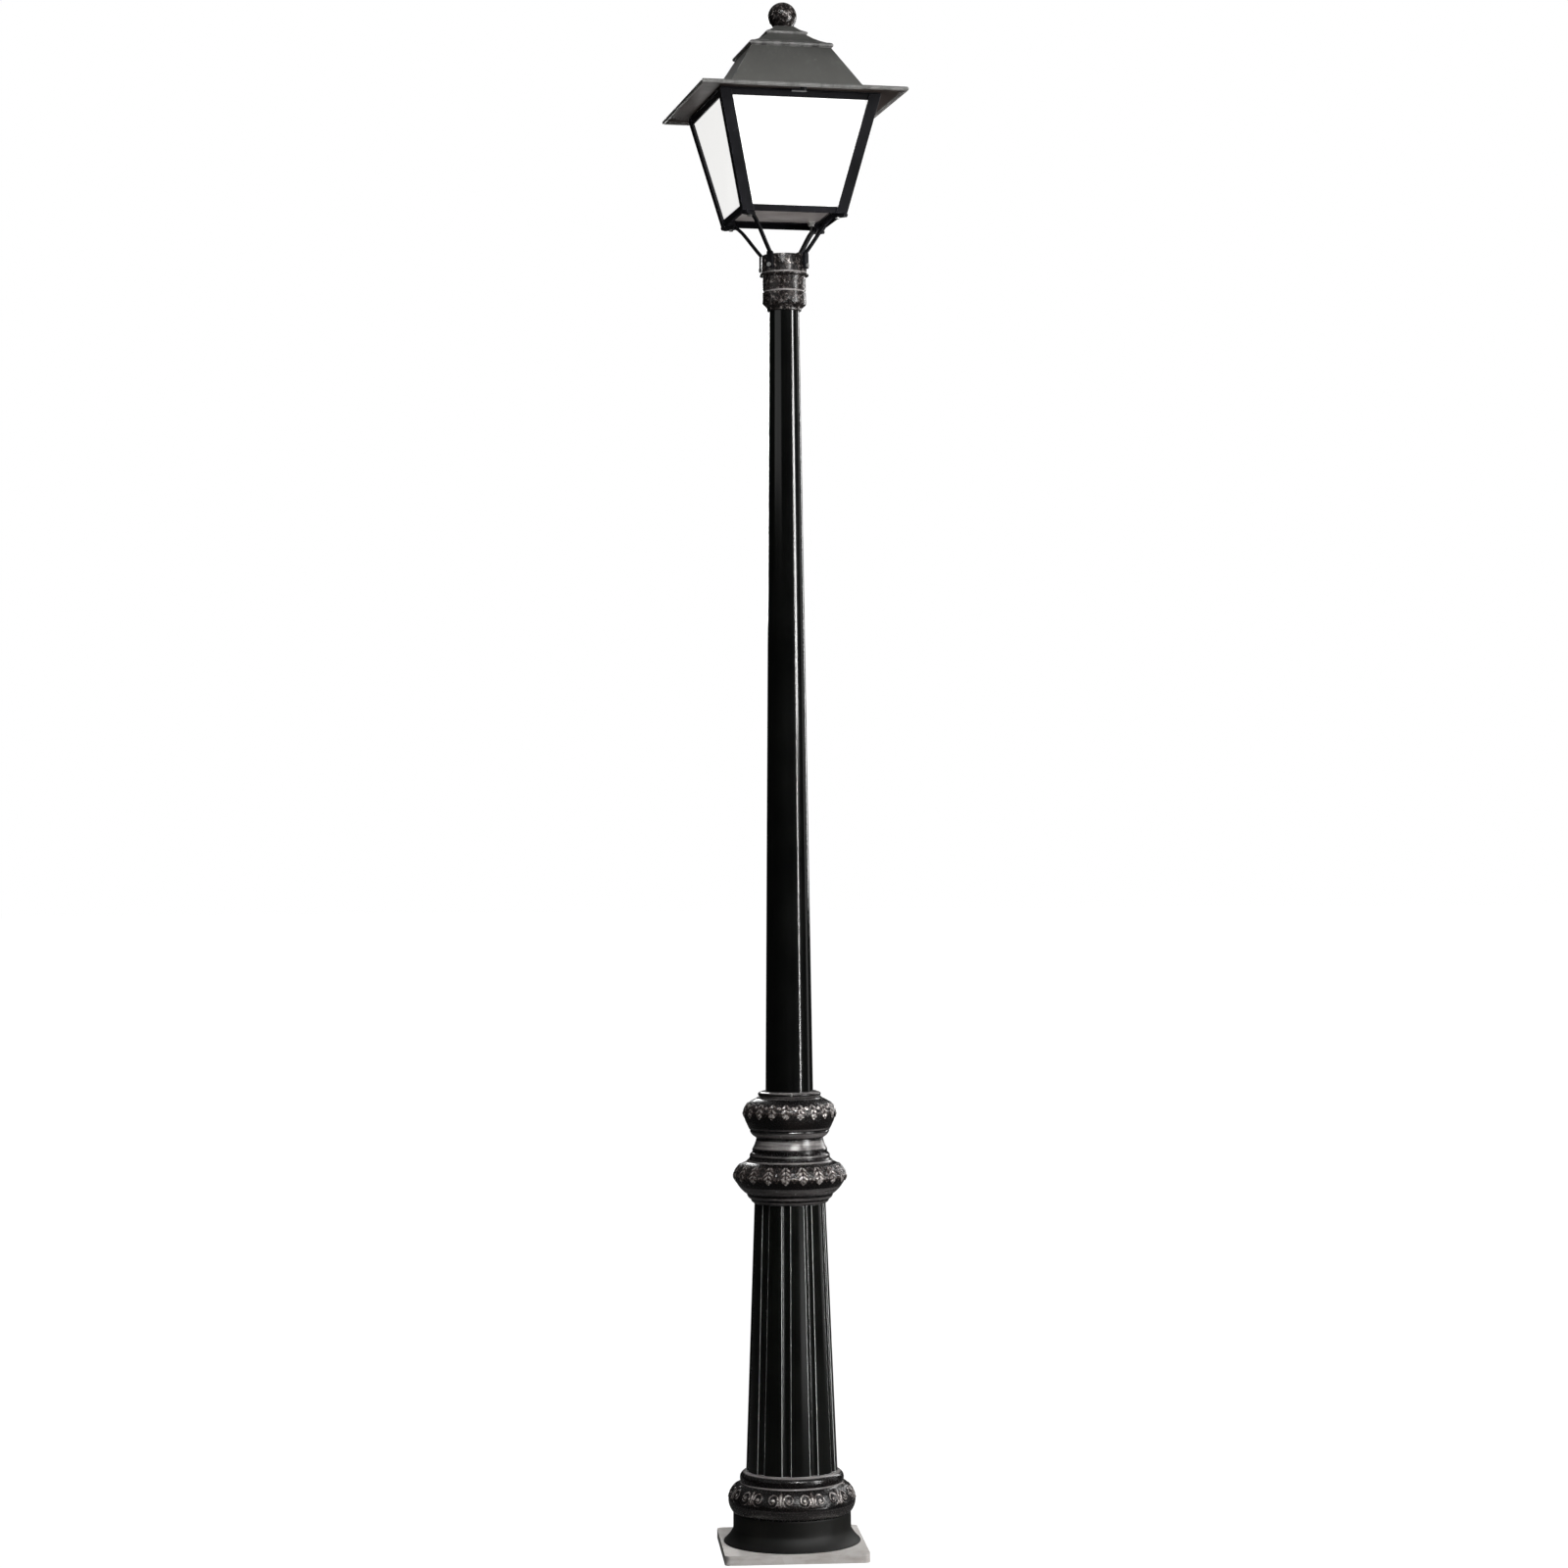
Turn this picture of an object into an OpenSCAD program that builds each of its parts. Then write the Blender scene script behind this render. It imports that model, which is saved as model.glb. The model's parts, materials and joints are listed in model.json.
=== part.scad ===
// Street lamp post: a tapered steel pole welded to an anchored base plate, cast ornamental covers
// slipped over its foot, and a four-sided lantern with a hinged roof on the pole top.
// Millimetres, +Z up, origin at the centre of the base plate's underside.
// The base plate's sides lie along X and Y. The lantern is turned on the pole by lantern_yaw.

/* [Base plate] */
// Side of the square base plate
plate_w = 305; // [300:1:330]
// Thickness of the base plate
plate_t = 20; // [16:1:22]
// Corner radius of the base plate
plate_corner_r = 12; // [6:1:20]
// Distance between neighbouring anchor holes
anchor_spacing = 140; // [136:1:144]
// Diameter of the anchor holes
anchor_hole_d = 18; // [14:1:18]
// Diameter of the cable entry through the plate
cable_entry_d = 80; // [60:1:90]

/* [Pole] */
// Outer radius of the tapered pole at the base plate
pole_foot_r = 61.7; // [60.5:0.1:62]
// Outer radius of the tapered pole below the lantern neck
pole_top_r = 31.8; // [31.5:0.1:32]
// Wall thickness of the pole
pole_wall = 4; // [3:0.5:5]
// Length of pole that shows between the top collar and the lantern neck
pole_exposed_h = 1663; // [1400:1:1900]

/* [Covers] */
// Height of the round foot cover
foot_h = 64; // [60:1:70]
// Height of the relief ring on the foot cover
base_ring_h = 87; // [87:1:95]
// Height of the fluted column
column_h = 570; // [520:1:620]
// Outer radius of the fluted column at its bottom
column_bottom_r = 97.5; // [96:0.1:98]
// Outer radius of the fluted column at its top
column_top_r = 75.9; // [75:0.1:76.5]
// Wall of the fluted column
column_wall = 15; // [14:0.5:16]
// Number of flutes
flute_count = 10; // [10, 20]
// Radius of the round tool that shapes a flute
flute_r = 11.8; // [9:0.1:12]
// Depth of a flute
flute_depth = 5.5; // [3:0.1:6]
// Polar angle of one flute's centre line, degrees
flute_phase = 79.1; // [75:0.1:85]

/* [Service door] */
// Height of the door's lower edge above the ground
door_low_z = 240; // [220:5:260]
// Height of the door
door_h = 230; // [200:5:240]
// Half the angle that the door spans round the column, degrees
door_half_angle = 30; // [30:0.5:31]
// Clearance round the door
door_gap = 0.8; // [0.6:0.1:1.2]

/* [Lantern] */
// Turn of the lantern on the pole relative to the base plate, degrees
lantern_yaw = 8.4; // [0:0.1:45]
// Half width of the glazed body at its bottom edge
body_low_half = 112.6; // [110:0.1:116]
// Half width of the glazed body at its top edge
body_high_half = 172; // [170:0.1:176]
// Height of the glazed body
body_h = 240; // [230:1:260]
// Half width of the roof brim
brim_half = 220; // [216:1:232]
// Width of the corner posts' legs
post_leg = 24; // [20:1:26]
// Radius of the ball finial
finial_r = 30.5; // [26:0.5:32]

/* [Hidden] */

$fn = 96;
eps = 0.01;
big = 400;

// Colours
c_black = [0.05, 0.05, 0.05];
c_casting = [0.10, 0.09, 0.085];
c_roof = [0.20, 0.20, 0.20];
c_zinc = [0.72, 0.70, 0.67];
c_tray = [0.60, 0.57, 0.55];
c_opal = [0.97, 0.97, 0.95];
c_rubber = [0.08, 0.08, 0.08];
c_steel = [0.62, 0.62, 0.62];
c_plastic = [0.86, 0.86, 0.84];

// Heights of the stack, from the ground up
z_foot = plate_t;
z_ring = z_foot + foot_h;
z_column = z_ring + base_ring_h;
z_knop = z_column + column_h;
z_neck = z_knop + 92;
z_upper = z_neck + 47;
z_collar = z_upper + 87;
collar_h = 12;
z_adapter = z_collar + collar_h + pole_exposed_h;
z_shoulder = z_adapter + 8;
z_cup = z_adapter + 74;
z_spigot_top = z_cup + 24;
z_body = z_adapter + 194;
z_flange = z_body + body_h;
z_gasket = z_flange + 3;
z_brim = z_gasket + 2;
z_roof = z_brim + 4;
z_crown = z_roof + 115.5;
z_finial = z_crown + 46.5;

spigot_r = 30;
fit = 0.2;

// Pole and column as cones
pole_taper = (pole_foot_r - pole_top_r) / (z_shoulder - z_foot);
function pole_r(z) = pole_foot_r - (z - z_foot) * pole_taper;
bore_top_r = spigot_r - pole_wall;
z_bore_top = z_shoulder - 60;
bore_taper = (pole_foot_r - pole_wall - bore_top_r) / (z_bore_top - z_foot);
function bore_r(z) = pole_foot_r - pole_wall - (z - z_foot) * bore_taper;
column_taper = (column_bottom_r - column_top_r) / column_h;
column_tilt = atan(column_taper);
function column_r(z) = column_bottom_r - (z - z_column) * column_taper;

// Service door
door_angle = flute_phase + 180 / flute_count;
door_slab = 9;
door_seal_t = 2;
door_mid_z = door_low_z + door_h / 2;
door_ledge = 7;

// Glazed body
body_slope = (body_high_half - body_low_half) / body_h;
function body_half(z) = body_low_half + (z - z_body) * body_slope;
post_t = 3;
rail_t = 3;
rail_low_h = 13;
rail_high_h = 11;
pane_in = 6.4;
pane_t = 4;
tray_z = z_body + rail_low_h;

// Roof hinge, latch
hinge_y = 178;
hinge_z = z_flange - 3;
hinge_x = 80;
latch_y = -195;

// Arms: one curve in the diagonal plane, as radius and height
arm_curve = [
    [126, z_body - 3.5], [108, z_body - 6], [84, z_body - 44], [54.5, z_body - 74]
];
arm_steps = 24;
arm_upper = 3;

// Lamp cable, as distance from the pole's centre towards the rear right arm, and height
cable_r = 2.3;
cable_bottom = [[2, -19, 410], [2, -19, 440], [1, -12, 500], [0, -4, 570], [0, 0, 660]];
cable_rise = [[0, 2560], [6, 2640], [14, 2710], [20, 2737], [28, 2751], [37, 2763], [47, 2770.5]];
cable_top = [
    [109.5, 2828], [112, 2838], [112, 2858], [109.5, 2866], [103, 2871.5], [92, 2873], [60, 2873], [20.2, 2873]
];

// ---------------------------------------------------------------- helpers

// Points from p to q, bulging by s to the right of the way from p to q
function bulge(p, q, s, n = 8) = [
    for (i = [0:n])
        let (t = i / n, d = q - p, side = [d[1], -d[0]] / norm(d))
        p + d * t + side * (4 * s * t * (1 - t))
];

// A point on a cubic curve, its slope there, and a point d away from it on the upper, inner side
function cubic(c, t) =
    c[0] * pow(1 - t, 3) + 3 * c[1] * t * pow(1 - t, 2) + 3 * c[2] * t * t * (1 - t) + c[3] * pow(t, 3);
function cubic_slope(c, t) =
    3 * (c[1] - c[0]) * pow(1 - t, 2) + 6 * (c[2] - c[1]) * t * (1 - t) + 3 * (c[3] - c[2]) * t * t;
function unit(v) = v / norm(v);
function cubic_side(c, t, d) =
    let (g = unit(cubic_slope(c, t)))
    cubic(c, t) + [g[1], -g[0]] * d;

// Solid between a polygon at height z0 and one at z1, both with the same number of points
module loft(low, z0, high, z1) {
    n = len(low);
    points = concat([for (p = low) [p[0], p[1], z0]], [for (p = high) [p[0], p[1], z1]]);
    sides = [for (i = [0:n - 1]) [i, n + i, n + (i + 1) % n, (i + 1) % n]];
    caps = [[for (i = [0:n - 1]) i], [for (i = [n - 1:-1:0]) n + i]];
    polyhedron(points, concat(sides, caps));
}

// A closed outline of half widths and heights carried round a square
module square_ring(outline) {
    n = len(outline);
    points = [
        for (p = outline, k = [0:3])
            [p[0] * (k == 0 || k == 3 ? 1 : -1), p[0] * (k < 2 ? 1 : -1), p[1]]
    ];
    faces = [
        for (i = [0:n - 1], k = [0:3])
            let (j = (i + 1) % n, m = (k + 1) % 4)
            [4 * i + k, 4 * j + k, 4 * j + m, 4 * i + m]
    ];
    polyhedron(points, faces);
}

// Tube swept along points, its cross section in the planes that halve the bends
module sweep(route, r, sides = 8) {
    n = len(route);
    way = [for (i = [0:n - 1]) unit(route[min(i + 1, n - 1)] - route[max(i - 1, 0)])];
    ref = unit([1, -1, 0]);
    points = [
        for (i = [0:n - 1], k = [0:sides - 1])
            let (u = unit(cross(way[i], ref)), v = cross(way[i], u), a = 360 * k / sides)
            route[i] + r * (u * cos(a) + v * sin(a))
    ];
    walls = [
        for (i = [0:n - 2], k = [0:sides - 1])
            let (a = i * sides + k, b = i * sides + (k + 1) % sides)
            [a, a + sides, b + sides, b]
    ];
    caps = [[for (k = [0:sides - 1]) k], [for (k = [sides - 1:-1:0]) (n - 1) * sides + k]];
    polyhedron(points, concat(walls, caps));
}

// Round casting: its outside as radius and height above z, its bore as radius and height
module casting(z, outside, inside) {
    translate([0, 0, z])
        rotate_extrude()
            polygon(concat(outside, inside));
}

module lantern() {
    rotate([0, 0, lantern_yaw])
        children();
}

module four_times() {
    for (k = [0:3])
        rotate([0, 0, 90 * k])
            children();
}

// Turns a plane of radius and height into the diagonal plane of corner k, w wide
module diagonal_plate(k, w, outline) {
    lantern()
        rotate([0, 0, 45 + 90 * k])
            rotate([90, 0, 0])
                translate([0, 0, -w / 2])
                    linear_extrude(w)
                        polygon(outline);
}

// ---------------------------------------------------------------- base and pole

module rounded_square(w, r) {
    union() {
        square([w, w - 2 * r], center = true);
        square([w - 2 * r, w], center = true);
        for (x = [-1, 1], y = [-1, 1])
            translate([x, y] * (w / 2 - r))
                circle(r);
    }
}

module base_plate() {
    color(c_zinc)
        difference() {
            linear_extrude(plate_t)
                rounded_square(plate_w, plate_corner_r);
            translate([0, 0, -1])
                cylinder(h = plate_t + 2, d = cable_entry_d);
            for (x = [-1, 1], y = [-1, 1])
                translate([x * anchor_spacing / 2, y * anchor_spacing / 2, -1])
                    cylinder(h = plate_t + 2, d = anchor_hole_d);
        }
}

module base_gussets() {
    gusset_t = 8;
    color(c_zinc)
        for (k = [0:3])
            rotate([0, 0, 90 * k])
                rotate([90, 0, 0])
                    translate([0, 0, -gusset_t / 2])
                        linear_extrude(gusset_t)
                            polygon([
                                [pole_foot_r + 0.3, z_foot], [108, z_foot],
                                [108, z_foot + 12], [pole_foot_r + 0.3, z_foot + 90]
                            ]);
}

// Stadium-shaped prism that cuts the hand hole, pointing out at the door
module hand_hole_tool(w, h) {
    rotate([0, 0, door_angle])
        translate([0, 0, door_mid_z])
            rotate([0, 90, 0])
                linear_extrude(90)
                    union() {
                        square([h - w, w], center = true);
                        for (s = [-1, 1])
                            translate([s * (h - w) / 2, 0])
                                circle(w / 2);
                    }
}

module pole() {
    color(c_black)
        difference() {
            rotate_extrude()
                polygon([
                    [pole_foot_r - pole_wall, z_foot], [pole_foot_r, z_foot],
                    [pole_top_r, z_shoulder], [spigot_r, z_shoulder],
                    [spigot_r, z_spigot_top], [bore_top_r, z_spigot_top],
                    [bore_top_r, z_bore_top]
                ]);
            hand_hole_tool(60, 170);
        }
}

// ---------------------------------------------------------------- covers

module base_foot() {
    wall_r = 117.5;
    color(c_casting)
        casting(z_foot,
            concat([[146, 0], [146, 1.5]], bulge([145.5, 3], [126.5, 27], -1.6),
                [[125.8, 31], [125.5, foot_h - 2], [124, foot_h]]),
            [[wall_r, foot_h], [wall_r, 0]]);
}

module base_ring() {
    h = base_ring_h;
    color(c_casting)
        casting(z_ring,
            concat([[124.5, 0]], bulge([126.5, 1], [135.8, 25], 2.2),
                bulge([135.6, 26.5], [110, h - 24], 5),
                bulge([109.6, h - 22.5], [100, h], 5.5)),
            [[82, h], [82, h - 17], [116, 40], [116, 0]]);
}

module column_cone(offset_r, z0, z1) {
    translate([0, 0, z0])
        cylinder(h = z1 - z0, r1 = column_r(z0) + offset_r, r2 = column_r(z1) + offset_r);
}

module column_band(outer, inner, z0, z1) {
    difference() {
        column_cone(outer, z0, z1);
        translate([0, 0, -1])
            column_cone(inner, z0, z1 + 2);
    }
}

module sector(a0, a1, z0, z1) {
    reach = 160;
    translate([0, 0, z0])
        linear_extrude(z1 - z0)
            polygon(concat([[0, 0]],
                [for (a = [a0, (a0 + a1) / 2, a1]) [cos(a), sin(a)] * reach]));
}

// The flutes run out at both ends, under the lower knop and behind the base ring
module flutes() {
    run_out = 5;
    for (k = [0:flute_count - 1])
        rotate([0, 0, flute_phase + 360 * k / flute_count])
            translate([column_bottom_r + flute_r - flute_depth, 0, z_column])
                rotate([0, -column_tilt, 0])
                    translate([0, 0, -run_out])
                        cylinder(h = column_h + 2 * run_out, r = flute_r, $fn = 48);
}

// Door opening: full size through the outside, smaller behind the ledge that the seal lies on
module door_opening() {
    z0 = door_low_z;
    z1 = door_low_z + door_h;
    a = door_half_angle;
    ledge_a = a - 5;
    intersection() {
        sector(door_angle - a, door_angle + a, z0, z1);
        column_band(5, -door_slab - door_seal_t, z0 - 5, z1 + 5);
    }
    sector(door_angle - ledge_a, door_angle + ledge_a, z0 + door_ledge, z1 - door_ledge);
}

module fluted_column() {
    color(c_casting)
        difference() {
            column_cone(0, z_column, z_knop);
            translate([0, 0, -1])
                column_cone(-column_wall, z_column, z_knop + 2);
            flutes();
            door_opening();
        }
}

module lower_knop() {
    color(c_casting)
        casting(z_knop,
            concat([[77.5, 0]], bulge([78, 0.8], [83.5, 8], 1.2, 4), bulge([84.5, 9], [92, 20], 1.8, 5),
                bulge([95.5, 22], [119.3, 57], 3.4), bulge([119.3, 59], [93, 88.5], 5), [[90.5, 92]]),
            [[54.5, 92], [54.5, 8], [60, 0]]);
}

module flared_neck() {
    color(c_casting)
        casting(z_neck,
            concat([[89, 0], [85.5, 5]], bulge([85.5, 6], [82.5, 15], 1.4, 5),
                [[80.3, 16], [79.8, 19], [80, 22]], bulge([80, 23], [71.5, 44], -0.8, 5), [[70.5, 47]]),
            [[53.5, 47], [53.5, 0]]);
}

module upper_knop() {
    color(c_casting)
        casting(z_upper,
            concat([[72, 0]], bulge([73, 1.5], [84.8, 14], 1.6, 5), [[83.6, 16.5]],
                bulge([86, 18.5], [97.8, 50], 1.2), bulge([97.8, 54], [71, 84], 5.5), [[68, 87]]),
            [[53, 87], [53, 0]]);
}

module top_collar() {
    color(c_casting)
        difference() {
            casting(z_collar,
                concat([[62, 0]], bulge([64.5, 0.5], [61, collar_h - 1], 4.5), [[58, collar_h]]),
                [[51.4, collar_h], [51.4, 0]]);
            for (k = [0:2])
                rotate([0, 0, 120 * k + 30])
                    translate([48, 0, z_collar + collar_h / 2])
                        rotate([0, 90, 0])
                            cylinder(h = 30, r = 2.5, $fn = 32);
        }
}

// Socket set screw lying along X with its point at x = 0
module set_screw(length, r) {
    rotate([0, 90, 0])
        difference() {
            cylinder(h = length, r = r, $fn = 32);
            translate([0, 0, length - 3])
                cylinder(h = 4, r = r * 0.55, $fn = 6);
        }
}

module collar_screws() {
    z = z_collar + collar_h / 2;
    color(c_steel)
        for (k = [0:2])
            rotate([0, 0, 120 * k + 30])
                translate([pole_r(z) + 0.1, 0, z])
                    set_screw(14, 2.5 - 0.05);
}

// ---------------------------------------------------------------- neck, cup and arms

module neck_screw_places() {
    for (k = [0:2])
        rotate([0, 0, 120 * k + 90])
            translate([spigot_r, 0, z_adapter + 58])
                children();
}

module neck_adapter() {
    color(c_casting)
        difference() {
            casting(z_adapter,
                [[34.5, 0], [36.5, 1], [37, 5], [40, 8], [45.5, 12.5], [47, 15.5], [47, 19],
                 [46.3, 39.5], [44.6, 41], [44.6, 42.5], [46.2, 44], [46.2, 72], [45, 74]],
                [[spigot_r + fit, 74], [spigot_r + fit, 8], [32.4, 8], [32.4, 0]]);
            neck_screw_places()
                translate([-1, 0, 0])
                    rotate([0, 90, 0])
                        cylinder(h = 20, r = 3, $fn = 32);
        }
}

module neck_screws() {
    color(c_steel)
        neck_screw_places()
            set_screw(16.5, 3 - 0.05);
}

// Slot-shaped hole in the cup's top, towards the rear right arm
module cable_slot(r, z0, h) {
    lantern()
        rotate([0, 0, 45])
            translate([0, 0, z0]) {
                for (x = [30.5, 38])
                    translate([x, 0, 0])
                        cylinder(h = h, r = r, $fn = 32);
                translate([30.5, -r, 0])
                    cube([7.5, 2 * r, h]);
            }
}

cup_h = 44;
cup_r = 48;
ear_out = 51.5;
ear_t = 6.5;

module socket_cup() {
    seat_h = z_spigot_top - z_cup;
    color(c_casting)
        difference() {
            union() {
                casting(z_cup,
                    [[50, 0], [52.3, 1.2], [52.6, 3], [52, 4.6], [48.4, 6.2], [cup_r, 8],
                     [cup_r, cup_h - 3], [46.5, cup_h]],
                    [[0, cup_h], [0, 0]]);
                lantern()
                    four_times()
                        rotate([0, 0, 45])
                            translate([40, -9, z_cup + 6])
                                cube([ear_out - 40, 18, cup_h - 7]);
            }
            translate([0, 0, z_cup - 1])
                cylinder(h = seat_h + 1.5, r = spigot_r + fit);
            translate([0, 0, z_cup + seat_h])
                cylinder(h = cup_h - seat_h - 6, r = 43);
            cable_slot(5.5, z_cup + cup_h - 10, 20);
            arm_screw_places_low()
                translate([-18.5, 0, 0])
                    rotate([0, 90, 0])
                        cylinder(h = 26, r = 2.5, $fn = 32);
        }
}

module cup_grommet() {
    z = z_cup + cup_h - 6;
    color(c_rubber)
        difference() {
            union() {
                cable_slot(5.4, z, 6);
                cable_slot(6.8, z + 6, 1.5);
            }
            cable_slot(3.2, z - 1, 10);
        }
}

// The screw of each arm into the cup, along X at the arm's outer face
module arm_screw_places_low() {
    lantern()
        four_times()
            rotate([0, 0, 45])
                translate([ear_out + ear_t, 0, z_cup + 19])
                    children();
}

// The screw of each arm up into the lower frame
arm_screw_r = 134;
module arm_screw_places_high() {
    lantern()
        four_times()
            rotate([0, 0, 45])
                translate([arm_screw_r, 0, z_body - 7])
                    children();
}

// One arm of thickness t and width w, in the diagonal plane of corner k
module arm(k, t, w) {
    ear_low = z_cup + 13;
    top = cubic(arm_curve, 0);
    outline = concat(
        [for (i = [0:arm_steps]) cubic_side(arm_curve, i / arm_steps, arm_upper)],
        [for (i = [arm_steps:-1:0]) cubic_side(arm_curve, i / arm_steps, arm_upper - t)]
    );
    difference() {
        union() {
            diagonal_plate(k, w, outline);
            diagonal_plate(k, 14, [
                [ear_out, ear_low], [ear_out + ear_t, ear_low], [ear_out + ear_t, z_body - 76],
                [ear_out + ear_t - 1, z_body - 72], [ear_out, z_body - 75]
            ]);
            diagonal_plate(k, 14, [
                [top[0] - 4, z_body - 7], [154, z_body - 7], [156, z_body - 4], [156, z_body],
                [top[0] - 4, z_body]
            ]);
        }
        arm_screw_places_low()
            translate([-10, 0, 0])
                rotate([0, 90, 0])
                    cylinder(h = 20, r = 3, $fn = 32);
        arm_screw_places_high()
            translate([0, 0, -5])
                cylinder(h = 20, r = 3, $fn = 32);
    }
}

module plain_arm(k) {
    color(c_casting)
        arm(k, 6, 7);
}

// The rear right arm has a groove on its inner side for the lamp cable
module arm_rear_right() {
    groove = concat(
        [for (i = [0:arm_steps]) cubic_side(arm_curve, i / arm_steps, 12)],
        [for (i = [arm_steps:-1:0]) cubic_side(arm_curve, i / arm_steps, -1.5)]
    );
    color(c_casting)
        difference() {
            arm(0, 7.5, 8);
            diagonal_plate(0, 2 * cable_r + 0.7, groove);
            lantern()
                rotate([0, 0, 45])
                    translate([112, 0, z_body - 5])
                        cylinder(h = 20, r = 3.8, $fn = 32);
        }
}

module arm_screws() {
    color(c_steel) {
        arm_screw_places_low()
            rotate([0, 90, 0]) {
                translate([0, 0, -17.5])
                    cylinder(h = 17.5 + eps, r = 2.45, $fn = 32);
                cylinder(h = 3, r = 5, $fn = 6);
            }
        arm_screw_places_high() {
            translate([0, 0, -3])
                cylinder(h = 3, r = 5, $fn = 6);
            translate([0, 0, -eps])
                cylinder(h = 15, r = 2.45, $fn = 32);
        }
    }
}

// ---------------------------------------------------------------- glazed body

module lower_frame() {
    z0 = z_body;
    z1 = tray_z;
    a = post_t;
    b = post_t + rail_t;
    block = 22;
    block_out = body_low_half - b + 0.5;
    color(c_black)
        lantern()
            difference() {
                union() {
                    square_ring([
                        [body_half(z0) - a, z0], [body_half(z1) - a, z1], [body_half(z1) - 24, z1],
                        [body_half(z1) - 24, z1 - 3], [body_half(z1) - b, z1 - 3], [body_half(z0) - b, z0]
                    ]);
                    four_times()
                        translate([block_out - block, block_out - block, z0])
                            cube([block, block, rail_low_h - 1]);
                }
                four_times()
                    rotate([0, 0, 45])
                        translate([arm_screw_r, 0, z0 - 1])
                            cylinder(h = rail_low_h - 3, r = 2.5, $fn = 32);
            }
}

module lamp_tray() {
    half = 100;
    color(c_tray)
        lantern()
            difference() {
                translate([-half, -half, tray_z])
                    cube([2 * half, 2 * half, 3]);
                rotate([0, 0, 45])
                    translate([112, 0, tray_z - 1])
                        cylinder(h = 5, r = 6, $fn = 48);
            }
}

module top_frame() {
    z0 = z_flange - rail_high_h;
    z1 = z_flange;
    a = post_t;
    b = post_t + rail_t;
    color(c_black)
        lantern()
            union() {
                square_ring([
                    [body_half(z0) - a, z0], [body_half(z1) - a, z1], [body_half(z1), z1],
                    [body_half(z1), z1 + 3], [body_half(z1) - 26, z1 + 3], [body_half(z1) - 26, z1],
                    [body_half(z1) - b, z1], [body_half(z0) - b, z0]
                ]);
                translate([-16, -body_high_half - 4, z1])
                    cube([32, 8, 3]);
            }
}

// Corner post k: an angle bar that follows the body's edge
module corner_post(k) {
    z0 = z_body;
    z1 = z_flange;
    function bar(z, low, high) = let (h = body_half(z)) rectangle(h - low, h - high, h - low, h - high);
    color(c_black)
        lantern()
            rotate([0, 0, 90 * k])
                difference() {
                    loft(bar(z0, post_leg, 0), z0, bar(z1, post_leg, 0), z1);
                    loft(bar(z0 - 1, 2 * post_leg, post_t), z0 - 1, bar(z1 + 1, 2 * post_leg, post_t), z1 + 1);
                }
}

// Rectangle from x0 to x1 and from y0 to y1, counter-clockwise
function rectangle(x0, x1, y0, y1) = [[x0, y0], [x1, y0], [x1, y1], [x0, y1]];

// Pane k, 0 at the front, counting counter-clockwise
module pane(k) {
    z0 = tray_z + 0.2;
    z1 = z_flange - 0.5;
    side = pane_in + pane_t + 0.4;
    function section(z) = let (h = body_half(z))
        rectangle(-h + side, h - side, -h + pane_in, -h + pane_in + pane_t);
    color(c_opal)
        lantern()
            rotate([0, 0, 90 * k])
                loft(section(z0), z0, section(z1), z1);
}

module pane_seals() {
    z0 = tray_z + 0.3;
    z1 = z_flange - rail_high_h - 0.3;
    function section(z) = let (h = body_half(z))
        rectangle(h - 22, h - 10, -h + post_t, -h + pane_in);
    color(c_rubber)
        lantern()
            four_times()
                for (m = [0, 1])
                    mirror([m, 0, 0])
                        loft(section(z0), z0, section(z1), z1);
}

module glazing_clips() {
    low = body_half(tray_z) - pane_in - pane_t - 0.2;
    high = body_half(z_flange - 14) - pane_in - pane_t - 0.2;
    color(c_steel)
        lantern()
            four_times()
                for (s = [-1, 1]) {
                    translate([s * 55 - 10, -low, tray_z])
                        cube([20, 4.5, 15]);
                    translate([s * 90 - 10, -high, z_flange - 14])
                        cube([20, 5, 14]);
                }
}

// ---------------------------------------------------------------- lamp and cable

bracket_z = tray_z + 3;
holder_z = bracket_z + 3;

module lamp_bracket() {
    color(c_steel)
        lantern()
            difference() {
                union() {
                    translate([-45, -17, bracket_z])
                        cube([90, 34, 3]);
                    for (s = [-1, 1])
                        translate([s * 40 - 5, -17, bracket_z + 3 - eps])
                            cube([10, 34, 3]);
                }
                for (s = [-1, 1])
                    translate([s * 30, 0, bracket_z - 1])
                        cylinder(h = 6, r = 2.5, $fn = 32);
            }
}

module lamp_holder() {
    color(c_plastic)
        translate([0, 0, holder_z])
            difference() {
                rotate_extrude()
                    polygon([[0, 0], [20, 0], [20, 30], [18, 34], [18, 46], [0, 46]]);
                translate([0, 0, 12])
                    cylinder(h = 40, r = 14.2);
            }
}

module lamp_cap() {
    color(c_steel)
        translate([0, 0, holder_z + 13])
            rotate_extrude()
                polygon([[0, 0], [5, 0], [9, 5], [13.3, 8], [13.3, 34], [0, 34]]);
}

module lamp_bulb() {
    color(c_opal)
        translate([0, 0, holder_z + 47])
            rotate_extrude()
                polygon(concat([[0, 0], [14, 0]], bulge([15, 4], [30, 48], -2),
                    [for (a = [10:10:80]) [30 * cos(a), 52 + 30 * sin(a)]], [[0, 82]]));
}

module cable_gland() {
    z = tray_z;
    color(c_plastic)
        lantern()
            rotate([0, 0, 45])
                translate([112, 0, 0])
                    difference() {
                        union() {
                            translate([0, 0, z - 4])
                                cylinder(h = 4, r = 8.5, $fn = 6);
                            translate([0, 0, z - 9])
                                cylinder(h = 5 + eps, r = 6.5, $fn = 48);
                            translate([0, 0, z - eps])
                                cylinder(h = 8, r = 5.8, $fn = 48);
                            translate([0, 0, z + 3])
                                cylinder(h = 3, r = 8.5, $fn = 6);
                        }
                        translate([0, 0, z - 20])
                            cylinder(h = 40, r = cable_r + 0.4, $fn = 48);
                    }
}

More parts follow.
